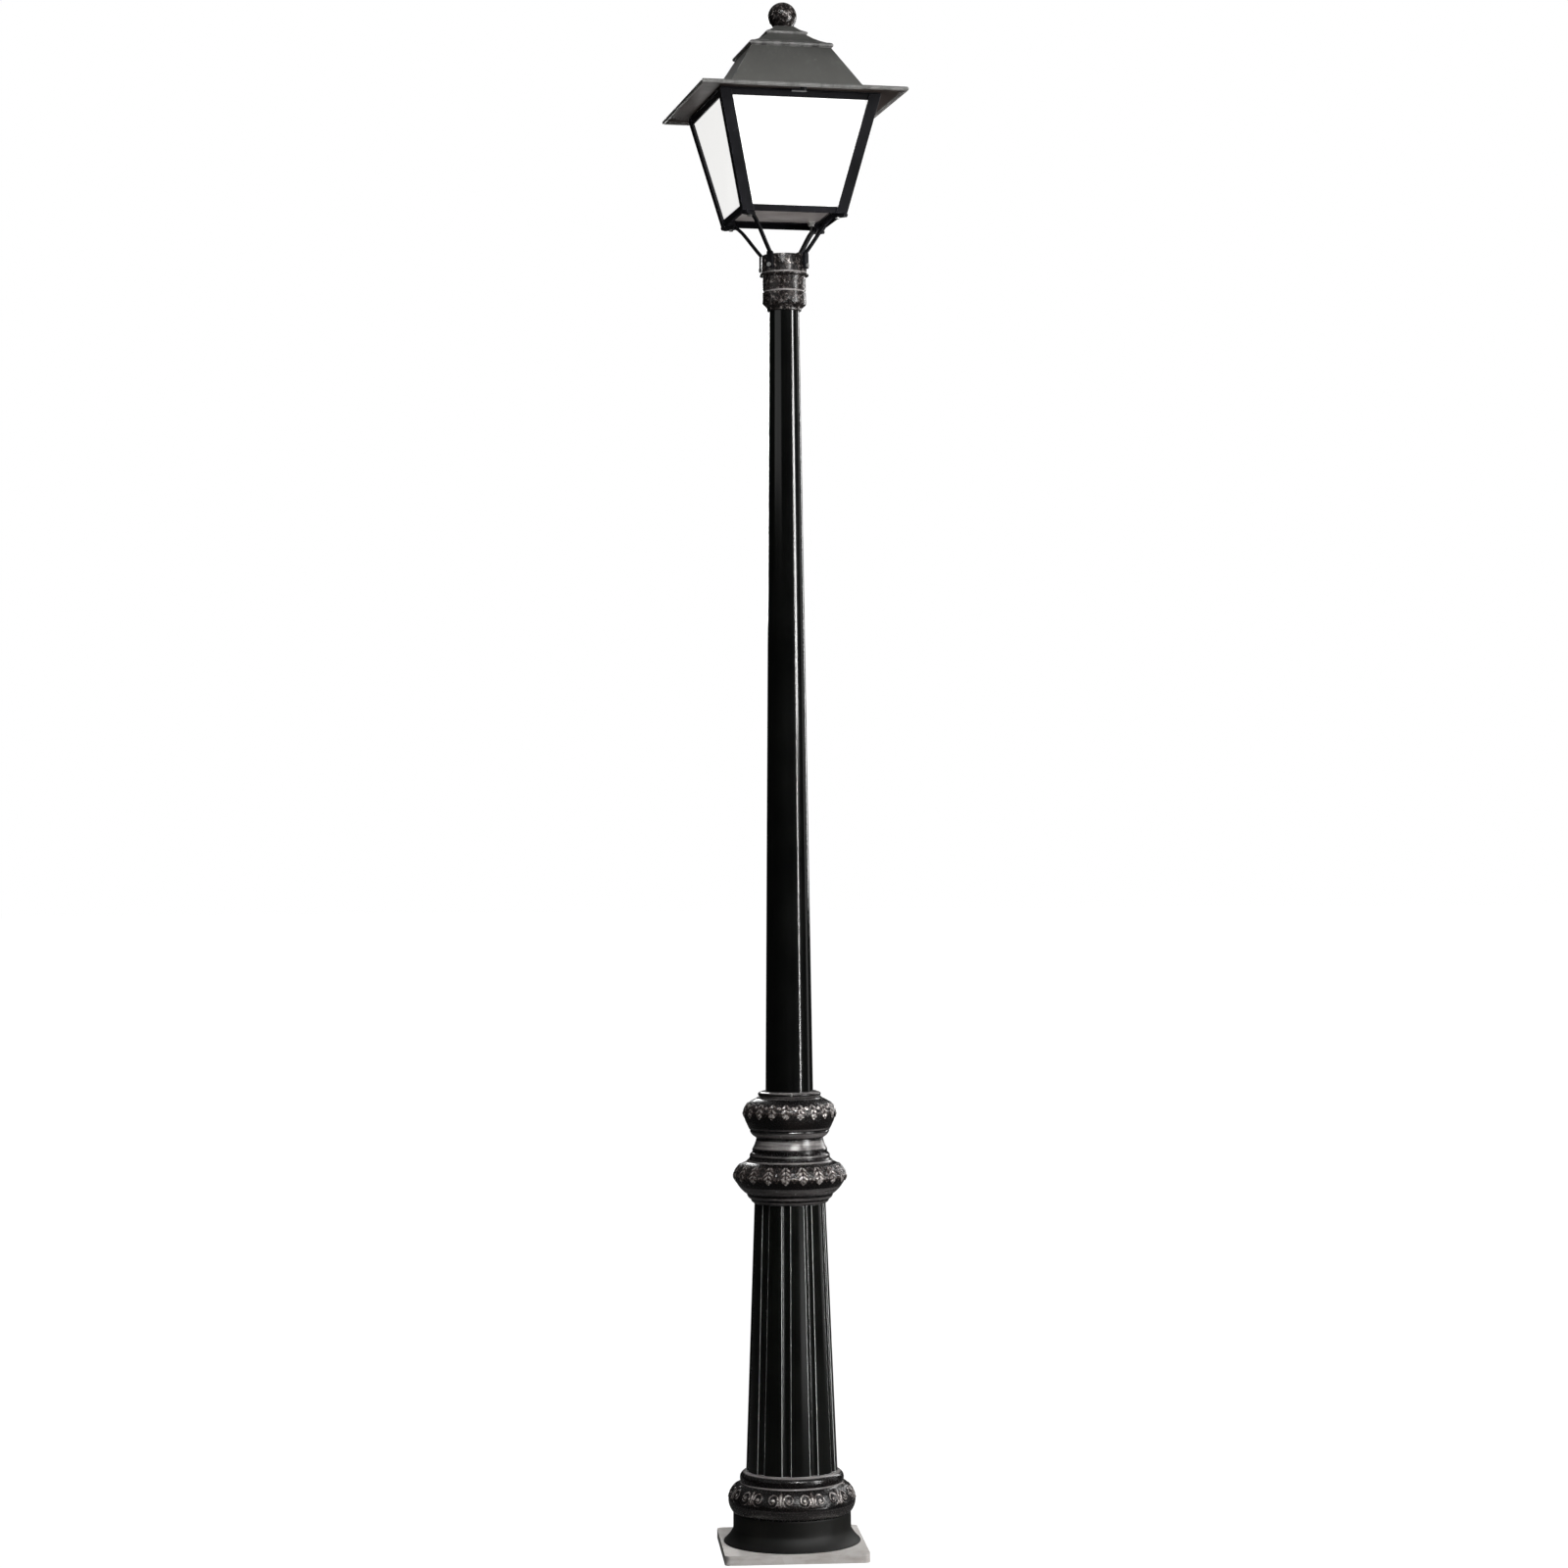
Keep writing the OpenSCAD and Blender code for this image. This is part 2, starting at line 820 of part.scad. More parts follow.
// The lamp cable: from the fuse unit up the pole, out through the cup's grommet, along the groove
// of the rear right arm and through the gland to the lamp holder
function towards_arm(p) =
    let (a = lantern_yaw + 45) [p[0] * cos(a), p[0] * sin(a), p[1]];

module lamp_cable() {
    shift = z_adapter - 2642;
    groove = [for (t = [0.84:-0.12:0.35]) cubic_side(arm_curve, t, 1.2)];
    route = concat(
        cable_bottom,
        [for (z = [900:300:2400]) [0, 0, z + shift * z / 2400]],
        [for (p = cable_rise) towards_arm([p[0], p[1] + shift])],
        [for (p = groove) towards_arm(p)],
        [for (p = cable_top) towards_arm([p[0], p[1] + shift])]
    );
    color(c_rubber)
        sweep(route, cable_r);
}

// ---------------------------------------------------------------- service compartment

// Frame of the hand hole: x points out through the door, z up, origin on the pole's axis
module service_frame() {
    rotate([0, 0, door_angle])
        translate([0, 0, door_mid_z])
            children();
}

// The pole's own bore from height z, h long, standing on the origin
module pole_bore(z, h) {
    cylinder(h = h, r1 = bore_r(z), r2 = bore_r(z + h));
}

module fuse_rail() {
    color(c_zinc)
        service_frame() {
            translate([-43, -17, -110])
                cube([3, 34, 220]);
            for (z = [-90, 78])
                intersection() {
                    translate([-60, -8, z])
                        cube([17 + eps, 16, 12]);
                    translate([0, 0, z - 1])
                        pole_bore(door_mid_z + z - 1, 14);
                }
        }
}

module fuse_unit() {
    color(c_plastic)
        service_frame()
            difference() {
                union() {
                    translate([-40, -23, -55])
                        cube([38, 46, 105]);
                    translate([-2 - eps, -14, -30])
                        cube([8, 28, 46]);
                    translate([-19.2, 0, 50 - eps])
                        cylinder(h = 5, r = 8, $fn = 48);
                }
                translate([-30, -18, -56])
                    cube([20, 36, 8]);
            }
}

module earth_stud() {
    color(c_steel)
        service_frame()
            translate([-40, 0, 78])
                rotate([0, 90, 0]) {
                    cylinder(h = 15, r = 4, $fn = 48);
                    translate([0, 0, 5])
                        cylinder(h = 6.5, r = 7.5, $fn = 6);
                }
}

// ---------------------------------------------------------------- roof hinge

module hinge_places() {
    lantern()
        for (s = [-1, 1])
            translate([s * hinge_x, hinge_y, hinge_z])
                children();
}

module knuckle(x0, x1, r, bore) {
    translate([x0, 0, 0])
        rotate([0, 90, 0])
            difference() {
                cylinder(h = x1 - x0, r = r, $fn = 48);
                translate([0, 0, -1])
                    cylinder(h = x1 - x0 + 2, r = bore, $fn = 48);
            }
}

module hinge_body_leaves() {
    z0 = z_flange - 10;
    z1 = z_flange - 0.3;
    web_y = -hinge_y + body_high_half - 0.5;
    color(c_black) {
        hinge_places()
            for (m = [0, 1])
                mirror([m, 0, 0])
                    difference() {
                        union() {
                            knuckle(12.3, 22, 4, 2.05);
                            translate([12.3, web_y, -3.5])
                                cube([9.7, -web_y, 5.8]);
                        }
                        knuckle_bore(60);
                    }
        lantern()
            for (s = [-1, 1])
                translate([s * hinge_x, 0, 0])
                    loft(rectangle(-22, 22, body_half(z0) - post_t, body_high_half - 0.5), z0,
                        rectangle(-22, 22, body_half(z1) - post_t, body_high_half - 0.5), z1);
    }
}

module knuckle_bore(length) {
    rotate([0, 90, 0])
        translate([0, 0, -length / 2])
            cylinder(h = length, r = 2.05, $fn = 48);
}

module hinge_pins() {
    color(c_steel)
        hinge_places() {
            translate([-23, 0, 0])
                rotate([0, 90, 0])
                    cylinder(h = 46, r = 2, $fn = 48);
            for (x = [-24.5, 22.5])
                translate([x, 0, 0])
                    rotate([0, 90, 0])
                        cylinder(h = 2, r = 3, $fn = 48);
        }
}

module hinge_roof_leaves() {
    color(c_black)
        hinge_places()
            difference() {
                union() {
                    knuckle(-12, 12, 4, 2.05);
                    translate([-12, 0.5, 0])
                        cube([24, 3.5, z_brim - hinge_z]);
                    translate([-20, 0.5, z_brim - hinge_z - 2.5])
                        cube([40, 24, 2.5]);
                }
                knuckle_bore(60);
            }
}

// ---------------------------------------------------------------- roof

module roof_gasket() {
    color(c_rubber)
        lantern()
            square_ring([
                [168, z_gasket], [168, z_brim], [152, z_brim], [152, z_gasket]
            ]);
}

module latch_place() {
    lantern()
        translate([0, latch_y, 0])
            children();
}

module roof_brim() {
    half = brim_half;
    z = z_brim;
    color(c_roof)
        difference() {
            lantern()
                square_ring([
                    [half - 6, z], [half - 6, z - 4], [half - 4, z - 5], [half - 1.5, z - 4.5],
                    [half, z - 2], [half, z + 1], [half - 2, z + 4], [150, z + 4], [150, z]
                ]);
            latch_place()
                translate([0, 0, z - 10])
                    cylinder(h = 20, r = 4.05, $fn = 48);
        }
}

module roof_main() {
    z = z_roof;
    color(c_roof)
        lantern()
            square_ring([
                [176, z], [176, z + 2], [166, z + 2.4], [158, z + 4.5], [150, z + 8.5],
                [143.5, z + 14], [139, z + 20], [86.3, z + 104.5], [88.8, z + 105.5], [90.5, z + 108],
                [90.5, z + 111], [88.5, z + 113.5], [84, z + 115.5], [60, z + 115.5], [60, z + 112.5],
                [81, z + 112.5], [83.5, z + 105], [136.4, z + 19], [141, z + 12.5], [148, z + 6.5],
                [157, z + 2], [163, z]
            ]);
}

module roof_crown() {
    z = z_crown;
    color(c_roof)
        lantern()
            square_ring([
                [79, z], [78, z + 2], [68, z + 6.5], [55, z + 14.5], [42.5, z + 24.5], [44.3, z + 25.5],
                [45.3, z + 27.5], [44.8, z + 30], [41, z + 32], [34, z + 35.5], [28, z + 40],
                [22.5, z + 45], [20.5, z + 46.5], [6, z + 46.5], [6, z + 43.5], [19, z + 43.5],
                [26, z + 37.5], [32.5, z + 32.5], [40, z + 28], [40, z + 23.5], [53, z + 12.5],
                [67, z + 4], [74, z]
            ]);
}

module reflector() {
    color(c_opal)
        lantern()
            translate([-157, -157, z_roof])
                cube([314, 314, 1.5]);
}

module roof_screws() {
    color(c_roof)
        lantern()
            four_times()
                for (x = [-150, 0, 150])
                    translate([x, -171, z_roof + 2.4])
                        intersection() {
                            translate([0, 0, -2.4])
                                sphere(5, $fn = 32);
                            cylinder(h = 4, r = 4, $fn = 32);
                        }
}

module finial() {
    color(c_casting)
        union() {
            difference() {
                translate([0, 0, z_finial + finial_r - 7])
                    sphere(finial_r);
                translate([0, 0, z_finial - 20])
                    cylinder(h = 20, r = finial_r);
            }
            translate([0, 0, z_finial])
                cylinder(h = 4, r = 20.5);
            translate([0, 0, z_finial - 22])
                cylinder(h = 26, r = 5);
        }
}

module finial_nut() {
    color(c_steel)
        translate([0, 0, z_finial - 9.5])
            difference() {
                cylinder(h = 6.5, r = 9, $fn = 6);
                translate([0, 0, -1])
                    cylinder(h = 10, r = 5.05);
            }
}

// Turn button under the front brim: its tongue turns under the tab on the top frame
module roof_latch() {
    z = z_brim;
    tongue_z = z_flange - 5;
    color(c_black)
        latch_place()
            union() {
                translate([0, 0, tongue_z])
                    cylinder(h = z + 4.3 - tongue_z, r = 4, $fn = 48);
                translate([0, 0, tongue_z])
                    cylinder(h = z - 0.3 - tongue_z, r = 7, $fn = 48);
                translate([0, 0, z + 4.3 - eps])
                    cylinder(h = 3, r1 = 7, r2 = 5, $fn = 48);
                translate([-25, -5, tongue_z])
                    cube([25, 10, 4]);
            }
}

// ---------------------------------------------------------------- service door

module service_door() {
    g = door_gap;
    z0 = door_low_z + g;
    z1 = door_low_z + door_h - g;
    a = door_half_angle - g / column_r(door_mid_z) * 180 / PI;
    color(c_casting)
        difference() {
            intersection() {
                column_band(0, -door_slab, z0, z1);
                sector(door_angle - a, door_angle + a, z0 - 1, z1 + 1);
            }
            flutes();
            lock_frame()
                translate([60, 0, 0])
                    rotate([0, 90, 0])
                        cylinder(h = 60, r = 8.05, $fn = 48);
        }
}

module door_gasket() {
    z0 = door_low_z + 0.5;
    z1 = door_low_z + door_h - 0.5;
    a = door_half_angle - 0.5;
    inner_a = door_half_angle - 5;
    color(c_rubber)
        difference() {
            intersection() {
                column_band(-door_slab - 0.1, -door_slab - door_seal_t, z0, z1);
                sector(door_angle - a, door_angle + a, z0 - 1, z1 + 1);
            }
            sector(door_angle - inner_a, door_angle + inner_a, z0 + door_ledge - 0.5, z1 - door_ledge + 0.5);
        }
}

// Frame of the door hinge: on the column's surface at the door's edge, x out, z up along the cone
module door_hinge_frame() {
    rotate([0, 0, door_angle - door_half_angle])
        translate([column_r(door_mid_z), 0, door_mid_z])
            rotate([0, -column_tilt, 0])
                children();
}

door_axis_out = 4.2;
door_knuckle_r = 3.6;
door_pin_r = 1.6;
door_bore_r = 1.65;

// Door hinges sit above and below the door's middle
module door_hinge_places() {
    door_hinge_frame()
        for (z = [-75, 75])
            translate([door_axis_out, 0, z])
                children();
}

module upright_knuckle(z0, z1) {
    translate([0, 0, z0])
        cylinder(h = z1 - z0, r = door_knuckle_r, $fn = 48);
}

module pin_bore() {
    translate([0, 0, -40])
        cylinder(h = 80, r = door_bore_r, $fn = 48);
}

// Curved plate on the column's surface, from angle a0 to a1 beyond the door's hinge edge
module surface_plate(a0, a1, z0, z1) {
    edge = door_angle - door_half_angle;
    intersection() {
        column_band(2.2, 0.05, z0, z1);
        sector(edge + a0, edge + a1, z0 - 1, z1 + 1);
    }
}

module door_frame_leaves() {
    color(c_casting)
        difference() {
            union() {
                for (z = [-75, 75])
                    surface_plate(-9, -2.9, door_mid_z + z - 18, door_mid_z + z + 18);
                door_hinge_places()
                    for (s = [-1, 1])
                        translate([0, 0, s * 12.15]) {
                            upright_knuckle(-5.85, 5.85);
                            translate([-door_axis_out + 0.4, -5, -5.85])
                                cube([3.6, 5, 11.7]);
                        }
            }
            door_hinge_places()
                pin_bore();
        }
}

module door_leaves() {
    color(c_casting)
        difference() {
            union() {
                for (z = [-75, 75])
                    surface_plate(2.9, 9, door_mid_z + z - 18, door_mid_z + z + 18);
                door_hinge_places()
                    union() {
                        upright_knuckle(-6, 6);
                        translate([-door_axis_out + 0.4, 0, -6])
                            cube([3.6, 5, 12]);
                    }
            }
            door_hinge_places()
                pin_bore();
        }
}

module door_pins() {
    color(c_steel)
        door_hinge_places()
            union() {
                translate([0, 0, -18.5])
                    cylinder(h = 37, r = door_pin_r, $fn = 48);
                for (z = [-20, 18.2])
                    translate([0, 0, z])
                        cylinder(h = 1.8, r = 2.6, $fn = 48);
            }
}

// Frame of the lock: x points out through the door's middle, origin on the pole's axis
module lock_frame() {
    rotate([0, 0, door_angle])
        translate([0, 0, door_mid_z])
            children();
}

module door_lock() {
    face = column_r(door_mid_z);
    cam_in = 61;
    color(c_steel)
        lock_frame()
            union() {
                difference() {
                    union() {
                        translate([cam_in, 0, 0])
                            rotate([0, 90, 0])
                                cylinder(h = face + 1 - cam_in, r = 8, $fn = 48);
                        translate([face + 0.6, 0, 0])
                            rotate([0, 90, 0])
                                cylinder(h = 2, r = 10, $fn = 48);
                    }
                    translate([face - 4, 0, 0])
                        rotate([0, 90, 0])
                            cylinder(h = 20, r = 5, $fn = 3);
                }
                translate([cam_in, -7, -38])
                    cube([3, 14, 38]);
            }
}

// ---------------------------------------------------------------- nodes

base_plate();
base_gussets();
pole();
base_foot();
base_ring();
fluted_column();
lower_knop();
flared_neck();
upper_knop();
top_collar();
collar_screws();
neck_adapter();
socket_cup();
cup_grommet();
neck_screws();
arm_rear_right();
plain_arm(1);  // arm_rear_left
plain_arm(2);  // arm_front_left
plain_arm(3);  // arm_front_right
arm_screws();
lower_frame();
lamp_tray();
top_frame();
corner_post(0);  // corner_post_rear_right
corner_post(1);  // corner_post_rear_left
corner_post(2);  // corner_post_front_left
corner_post(3);  // corner_post_front_right
pane(0);  // pane_front
pane(1);  // pane_right
pane(2);  // pane_rear
pane(3);  // pane_left
pane_seals();
glazing_clips();
lamp_bracket();
lamp_holder();
lamp_cap();
lamp_bulb();
cable_gland();
lamp_cable();
fuse_unit();
fuse_rail();
earth_stud();
roof_gasket();
hinge_body_leaves();
hinge_pins();
hinge_roof_leaves();
roof_brim();
roof_main();
roof_crown();
reflector();
roof_screws();
finial();
finial_nut();
roof_latch();
service_door();
door_gasket();
door_frame_leaves();
door_leaves();
door_pins();
door_lock();
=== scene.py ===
"""Looks of the street lamp post: materials for the CAD nodes, cast relief, floor, light and camera.

Everything is in metres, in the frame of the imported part: +Z up, with the origin at the centre of the
base plate's underside.
"""

import json
import math

import bpy
import numpy as np
from mathutils import Matrix, Vector


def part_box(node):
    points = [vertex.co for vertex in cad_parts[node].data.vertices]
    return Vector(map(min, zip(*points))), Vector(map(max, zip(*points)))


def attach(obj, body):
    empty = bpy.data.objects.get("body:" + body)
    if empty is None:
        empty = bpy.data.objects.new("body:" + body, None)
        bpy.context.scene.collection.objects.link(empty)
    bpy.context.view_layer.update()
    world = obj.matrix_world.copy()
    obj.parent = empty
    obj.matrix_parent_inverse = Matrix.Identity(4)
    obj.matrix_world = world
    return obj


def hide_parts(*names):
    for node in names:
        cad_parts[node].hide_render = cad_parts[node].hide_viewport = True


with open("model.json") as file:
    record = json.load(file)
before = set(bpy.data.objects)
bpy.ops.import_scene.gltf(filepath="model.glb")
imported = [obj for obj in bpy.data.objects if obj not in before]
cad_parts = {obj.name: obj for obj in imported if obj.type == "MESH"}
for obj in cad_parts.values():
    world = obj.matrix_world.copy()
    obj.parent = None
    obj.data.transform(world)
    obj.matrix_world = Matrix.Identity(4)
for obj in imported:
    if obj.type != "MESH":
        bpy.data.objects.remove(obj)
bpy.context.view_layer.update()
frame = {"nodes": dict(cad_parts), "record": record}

MM = 0.001

# Camera, as the photograph was taken: level, slightly to the left of the base plate's front
CAMERA_AZIMUTH = math.radians(-4.4)
CAMERA_DISTANCE = 7.39
CAMERA_HEIGHT = 1.53
CAMERA_LENS = 79.5
CAMERA_SENSOR = 36.0
CAMERA_SHIFT = (-0.0023, 0.031)
CAMERA_ROLL = math.radians(0.377)

# Heights of the cast covers, from the frame
RING_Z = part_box("base_ring")[0].z
KNOP_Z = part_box("lower_knop")[0].z
UPPER_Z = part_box("upper_knop")[0].z
NECK_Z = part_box("flared_neck")[0].z
COLLAR_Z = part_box("top_collar")[0].z
ADAPTER_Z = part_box("neck_adapter")[0].z
CUP_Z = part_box("socket_cup")[0].z
ROOF_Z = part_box("roof_main")[0].z

# Points round a relief casting, and the distance between points along its outline
AROUND = 960
ALONG = 1.0 * MM

# Edges sharper than these are shaded as edges, on the CAD meshes and on the relief castings, or are rounded
SHARP_ANGLE = math.radians(28.0)
RELIEF_SHARP_ANGLE = math.radians(50.0)
ROUNDED_ANGLE = math.radians(30.0)
WELD_DISTANCE = 2e-6

# Finish of the castings, from the deepest paint to bare metal, and last the colour of the painted light
# bands, painted sheen and highlight lines, on their mouldings
DEEP_PAINT = (0.0018, 0.0016, 0.0018)
THIN_PAINT = (0.007, 0.0052, 0.0048)
BROWN_WEAR = (0.085, 0.066, 0.060)
BARE_METAL = (0.92, 0.87, 0.84)
PAINTED_BAND_SHEEN = (0.52, 0.49, 0.48)

# Strength of the studio's surroundings as light
EYE_LEVEL_LIGHT = 0.012
OVERHEAD_LIGHT = 0.18
FLOOR_SIZE = 60.0


# ---------------------------------------------------------------- shader helpers


class Shader:
    """A material under construction: a Principled BSDF and short calls that add the nodes in front of it."""

    def __init__(self, name, **sockets):
        self.material = bpy.data.materials.new(name)
        self.material.use_nodes = True
        self.tree = self.material.node_tree
        self.bsdf = self.tree.nodes["Principled BSDF"]
        self.place = self.tree.nodes.new("ShaderNodeTexCoord").outputs["Object"]
        for socket, value in sockets.items():
            self.bsdf.inputs[socket.replace("_", " ")].default_value = value

    def node(self, kind, inputs, **settings):
        made = self.tree.nodes.new(kind)
        for key, value in settings.items():
            setattr(made, key, value)
        for key, value in inputs.items():
            if isinstance(value, bpy.types.NodeSocket):
                self.tree.links.new(value, made.inputs[key])
            else:
                made.inputs[key].default_value = value
        return made

    def stretched(self, x, y, z):
        """Object coordinates scaled on each axis, for streaks and grain."""
        scaled = self.node("ShaderNodeMapping", {"Vector": self.place, "Scale": (x, y, z)})
        return scaled.outputs["Vector"]

    def noise(self, scale, detail=4.0, rough=0.55, place=None, distortion=0.0):
        inputs = {
            "Vector": place or self.place,
            "Scale": scale,
            "Detail": detail,
            "Roughness": rough,
            "Distortion": distortion,
        }
        return self.node("ShaderNodeTexNoise", inputs).outputs["Fac"]

    def cells(self, scale):
        """A value for each of many irregular cells."""
        inputs = {"Vector": self.place, "Scale": scale}
        return self.node("ShaderNodeTexVoronoi", inputs).outputs["Color"]

    def spread(self, value, low, high, to_low=0.0, to_high=1.0):
        """Value from low to high, as to_low to to_high, and flat outside."""
        inputs = {
            "Value": value,
            "From Min": low,
            "From Max": high,
            "To Min": to_low,
            "To Max": to_high,
        }
        return self.node("ShaderNodeMapRange", inputs, clamp=True).outputs["Result"]

    def maths(self, operation, a, b=0.0):
        return self.node("ShaderNodeMath", {0: a, 1: b}, operation=operation).outputs[0]

    def mix(self, amount, a, b):
        """Colour a to b by amount; each is a socket or a value."""
        inputs = {"Factor": amount, "A": a, "B": b}
        made = self.tree.nodes.new("ShaderNodeMix")
        made.data_type = "RGBA"
        for key, value in inputs.items():
            socket = next(s for s in made.inputs if s.name == key and s.enabled)
            if isinstance(value, bpy.types.NodeSocket):
                self.tree.links.new(value, socket)
            else:
                socket.default_value = (*value, 1.0) if key != "Factor" else value
        return next(s for s in made.outputs if s.enabled)

    def edges(self, low, high):
        """1 on outer edges and 0 elsewhere."""
        geometry = self.tree.nodes.new("ShaderNodeNewGeometry")
        return self.spread(geometry.outputs["Pointiness"], low, high)

    def height(self):
        """Height on the part at rest, in metres."""
        return self.node("ShaderNodeSeparateXYZ", {"Vector": self.place}).outputs["Z"]

    def band(self, low, high, soft=0.0012):
        """1 between two heights in metres, 0 elsewhere."""
        z = self.height()
        rise = self.spread(z, low - soft, low + soft)
        return self.maths("MULTIPLY", rise, self.spread(z, high - soft, high + soft, 1.0, 0.0))

    def facing_up(self):
        """1 on faces that look up on the part at rest, -1 on those that look down."""
        coordinates = self.tree.nodes.new("ShaderNodeTexCoord")
        return self.node("ShaderNodeSeparateXYZ", {"Vector": coordinates.outputs["Normal"]}).outputs["Z"]

    def attribute(self, name):
        made = self.tree.nodes.new("ShaderNodeAttribute")
        made.attribute_name = name
        return made.outputs["Fac"]

    def bump(self, layers):
        """Bumps, coarse first, each (height socket, depth in metres)."""
        normal = None
        for socket, depth in layers:
            inputs = {"Height": socket, "Distance": depth, "Strength": 1.0}
            if normal is not None:
                inputs["Normal"] = normal
            normal = self.node("ShaderNodeBump", inputs).outputs["Normal"]
        self.to("Normal", normal)

    def to(self, socket, value):
        self.tree.links.new(value, self.bsdf.inputs[socket])


def painted(name, dark, light, rough, worn, specular=0.5, peel=0.00004, sheen_below=None, dusty=1.0, down_shade=None):
    """Sprayed or powder-coated paint: cloudy colour, orange peel, dust in streaks, rubbed edges.

    worn is the colour of rubbed places, peel the depth of the orange peel and dusty the amount of dust and
    wear.
    An optional height in metres paints light: below it the paint is lighter, a painted sheen that fades out
    over 9 cm above it. An optional second colour is painted shade, darker in patches, taken by faces that
    look down.
    """
    s = Shader(name, Specular_IOR_Level=specular)
    clouds = s.noise(9.0, 5.0)
    streaks = s.noise(1.0, 3.0, place=s.stretched(120.0, 120.0, 4.0))
    specks = s.noise(900.0, 2.0)
    base = s.mix(s.spread(clouds, 0.35, 0.7), dark, light)
    dust = s.maths("MULTIPLY", s.spread(streaks, 0.5, 0.8, 0.0, 0.35 * dusty), s.spread(clouds, 0.4, 0.7))
    base = s.mix(dust, base, tuple(min(1.0, 2.6 * c + 0.012) for c in light))
    # Painted light: the paint is lighter towards the part's foot, a painted sheen fading out 9 cm above the
    # given height.
    if sheen_below:
        painted_foot_sheen = s.spread(s.height(), sheen_below, sheen_below + 0.09, 0.5, 0.0)
        base = s.mix(painted_foot_sheen, base, tuple(2.4 * c for c in light))
    rub = s.spread(s.noise(60.0, 6.0, 0.7), 0.66, 0.76, 0.0, 0.5 * dusty)
    base = s.mix(rub, base, worn)
    # Painted shade: faces that look down take a second, browner colour, darker in patches.
    if down_shade:
        down = s.spread(s.maths("MULTIPLY", s.facing_up(), -1.0), 0.6, 0.9)
        shaded = s.mix(s.spread(clouds, 0.4, 0.6), down_shade, tuple(0.5 * c for c in down_shade))
        base = s.mix(down, base, shaded)
    s.to("Base Color", base)
    spot = 0.05 * dusty
    cloudy = s.spread(clouds, 0.3, 0.75, rough - spot, rough + spot)
    speckled = s.maths("ADD", cloudy, s.spread(specks, 0.3, 0.8, 0.0, spot))
    s.to("Roughness", s.maths("ADD", speckled, s.spread(dust, 0.0, 0.35, 0.0, 0.1)))
    s.bump([(s.noise(480.0, 2.0), peel)])
    return s.material


def antique_casting(name, relief=False, bands=(), rub=0.0):
    """Black paint over cast aluminium, rubbed to brown and bright metal where it stands proud.

    bands are (low, high, amount) in metres of height where a band of painted light, painted sheen and
    highlight lines, goes all round, and rub is how much of the rest is mottled.
    """
    s = Shader(name, Specular_IOR_Level=0.42, Coat_Weight=0.1, Coat_Roughness=0.1)
    clouds = s.noise(14.0, 6.0, 0.6)
    grain = s.noise(300.0, 5.0, 0.65)
    patchy = s.spread(s.noise(120.0, 5.0, 0.7, distortion=0.6), 0.36, 0.62)
    black = s.mix(s.spread(clouds, 0.35, 0.7), DEEP_PAINT, THIN_PAINT)
    layers = [(s.noise(70.0, 4.0), 0.0004), (grain, 0.00015)]
    proud = s.spread(clouds, 0.62, 0.8, 0.0, 0.1)
    if relief:
        proud = s.maths("MAXIMUM", proud, s.spread(s.attribute("relief"), 0.42, 0.85))
        proud = s.maths("MAXIMUM", proud, s.edges(0.55, 0.64))
    if rub:
        mottle = s.spread(s.noise(95.0, 6.0, 0.8, distortion=1.5), 0.49, 0.6, 0.0, rub)
        proud = s.maths("MAXIMUM", proud, mottle)
        layers.insert(0, (s.noise(45.0, 5.0, 0.7), 0.0012))
    worn = s.maths("MULTIPLY", proud, s.spread(patchy, 0.0, 1.0, 0.25, 1.0))
    base = s.mix(s.spread(worn, 0.0, 0.6), black, BROWN_WEAR)
    bright = s.maths("MULTIPLY", s.spread(worn, 0.35, 0.9), s.spread(grain, 0.38, 0.56, 0.35, 1.0))
    base = s.mix(bright, base, BARE_METAL)
    # Painted light: bands of painted sheen and highlight lines all round the mouldings at the given heights.
    for low, high, amount in bands:
        streaked = s.spread(s.noise(1.0, 4.0, place=s.stretched(14.0, 14.0, 260.0)), 0.35, 0.6, 0.45, 1.0)
        rubbed = s.maths("MULTIPLY", s.band(low, high), s.maths("MULTIPLY", streaked, amount))
        base = s.mix(rubbed, base, PAINTED_BAND_SHEEN)
    s.to("Base Color", base)
    s.to("Metallic", s.spread(worn, 0.2, 0.9, 0.0, 0.75))
    s.to("Roughness", s.spread(grain, 0.25, 0.8, 0.18, 0.34))
    s.bump(layers)
    return s.material


def galvanised(name):
    """Hot-dip zinc: faint crystals, level runs, dull grey-brown stains towards the ground."""
    s = Shader(name, Metallic=0.15)
    crystals = s.cells(60.0)
    fine = s.noise(420.0, 3.0)
    stain = s.noise(1.0, 5.0, 0.6, place=s.stretched(9.0, 9.0, 55.0))
    tone = s.mix(s.spread(crystals, 0.1, 0.9), (0.68, 0.645, 0.615), (0.76, 0.735, 0.71))
    tone = s.mix(s.spread(stain, 0.48, 0.72, 0.0, 0.55), tone, (0.36, 0.30, 0.265))
    s.to("Base Color", tone)
    s.to("Roughness", s.spread(stain, 0.3, 0.75, 0.4, 0.6))
    s.bump([(stain, 0.0005), (fine, 0.00008)])
    return s.material


def opal_acrylic(name):
    """Milky sheet: smooth, with a trace of dust, and bright because it glows by itself as painted light."""
    # Painted light: the sheet glows by itself, though no lamp shines through it.
    s = Shader(name, IOR=1.49, Emission_Strength=0.78, Emission_Color=(1.0, 0.995, 0.98, 1.0))
    haze = s.noise(7.0, 4.0)
    dust = s.noise(150.0, 4.0)
    base = s.mix(s.spread(haze, 0.3, 0.75), (0.93, 0.935, 0.925), (0.965, 0.965, 0.955))
    base = s.mix(s.spread(dust, 0.62, 0.8, 0.0, 0.18), base, (0.80, 0.79, 0.75))
    s.to("Base Color", base)
    s.to("Roughness", s.spread(dust, 0.35, 0.75, 0.12, 0.22))
    s.bump([(s.noise(12.0, 2.0), 0.0005)])
    return s.material


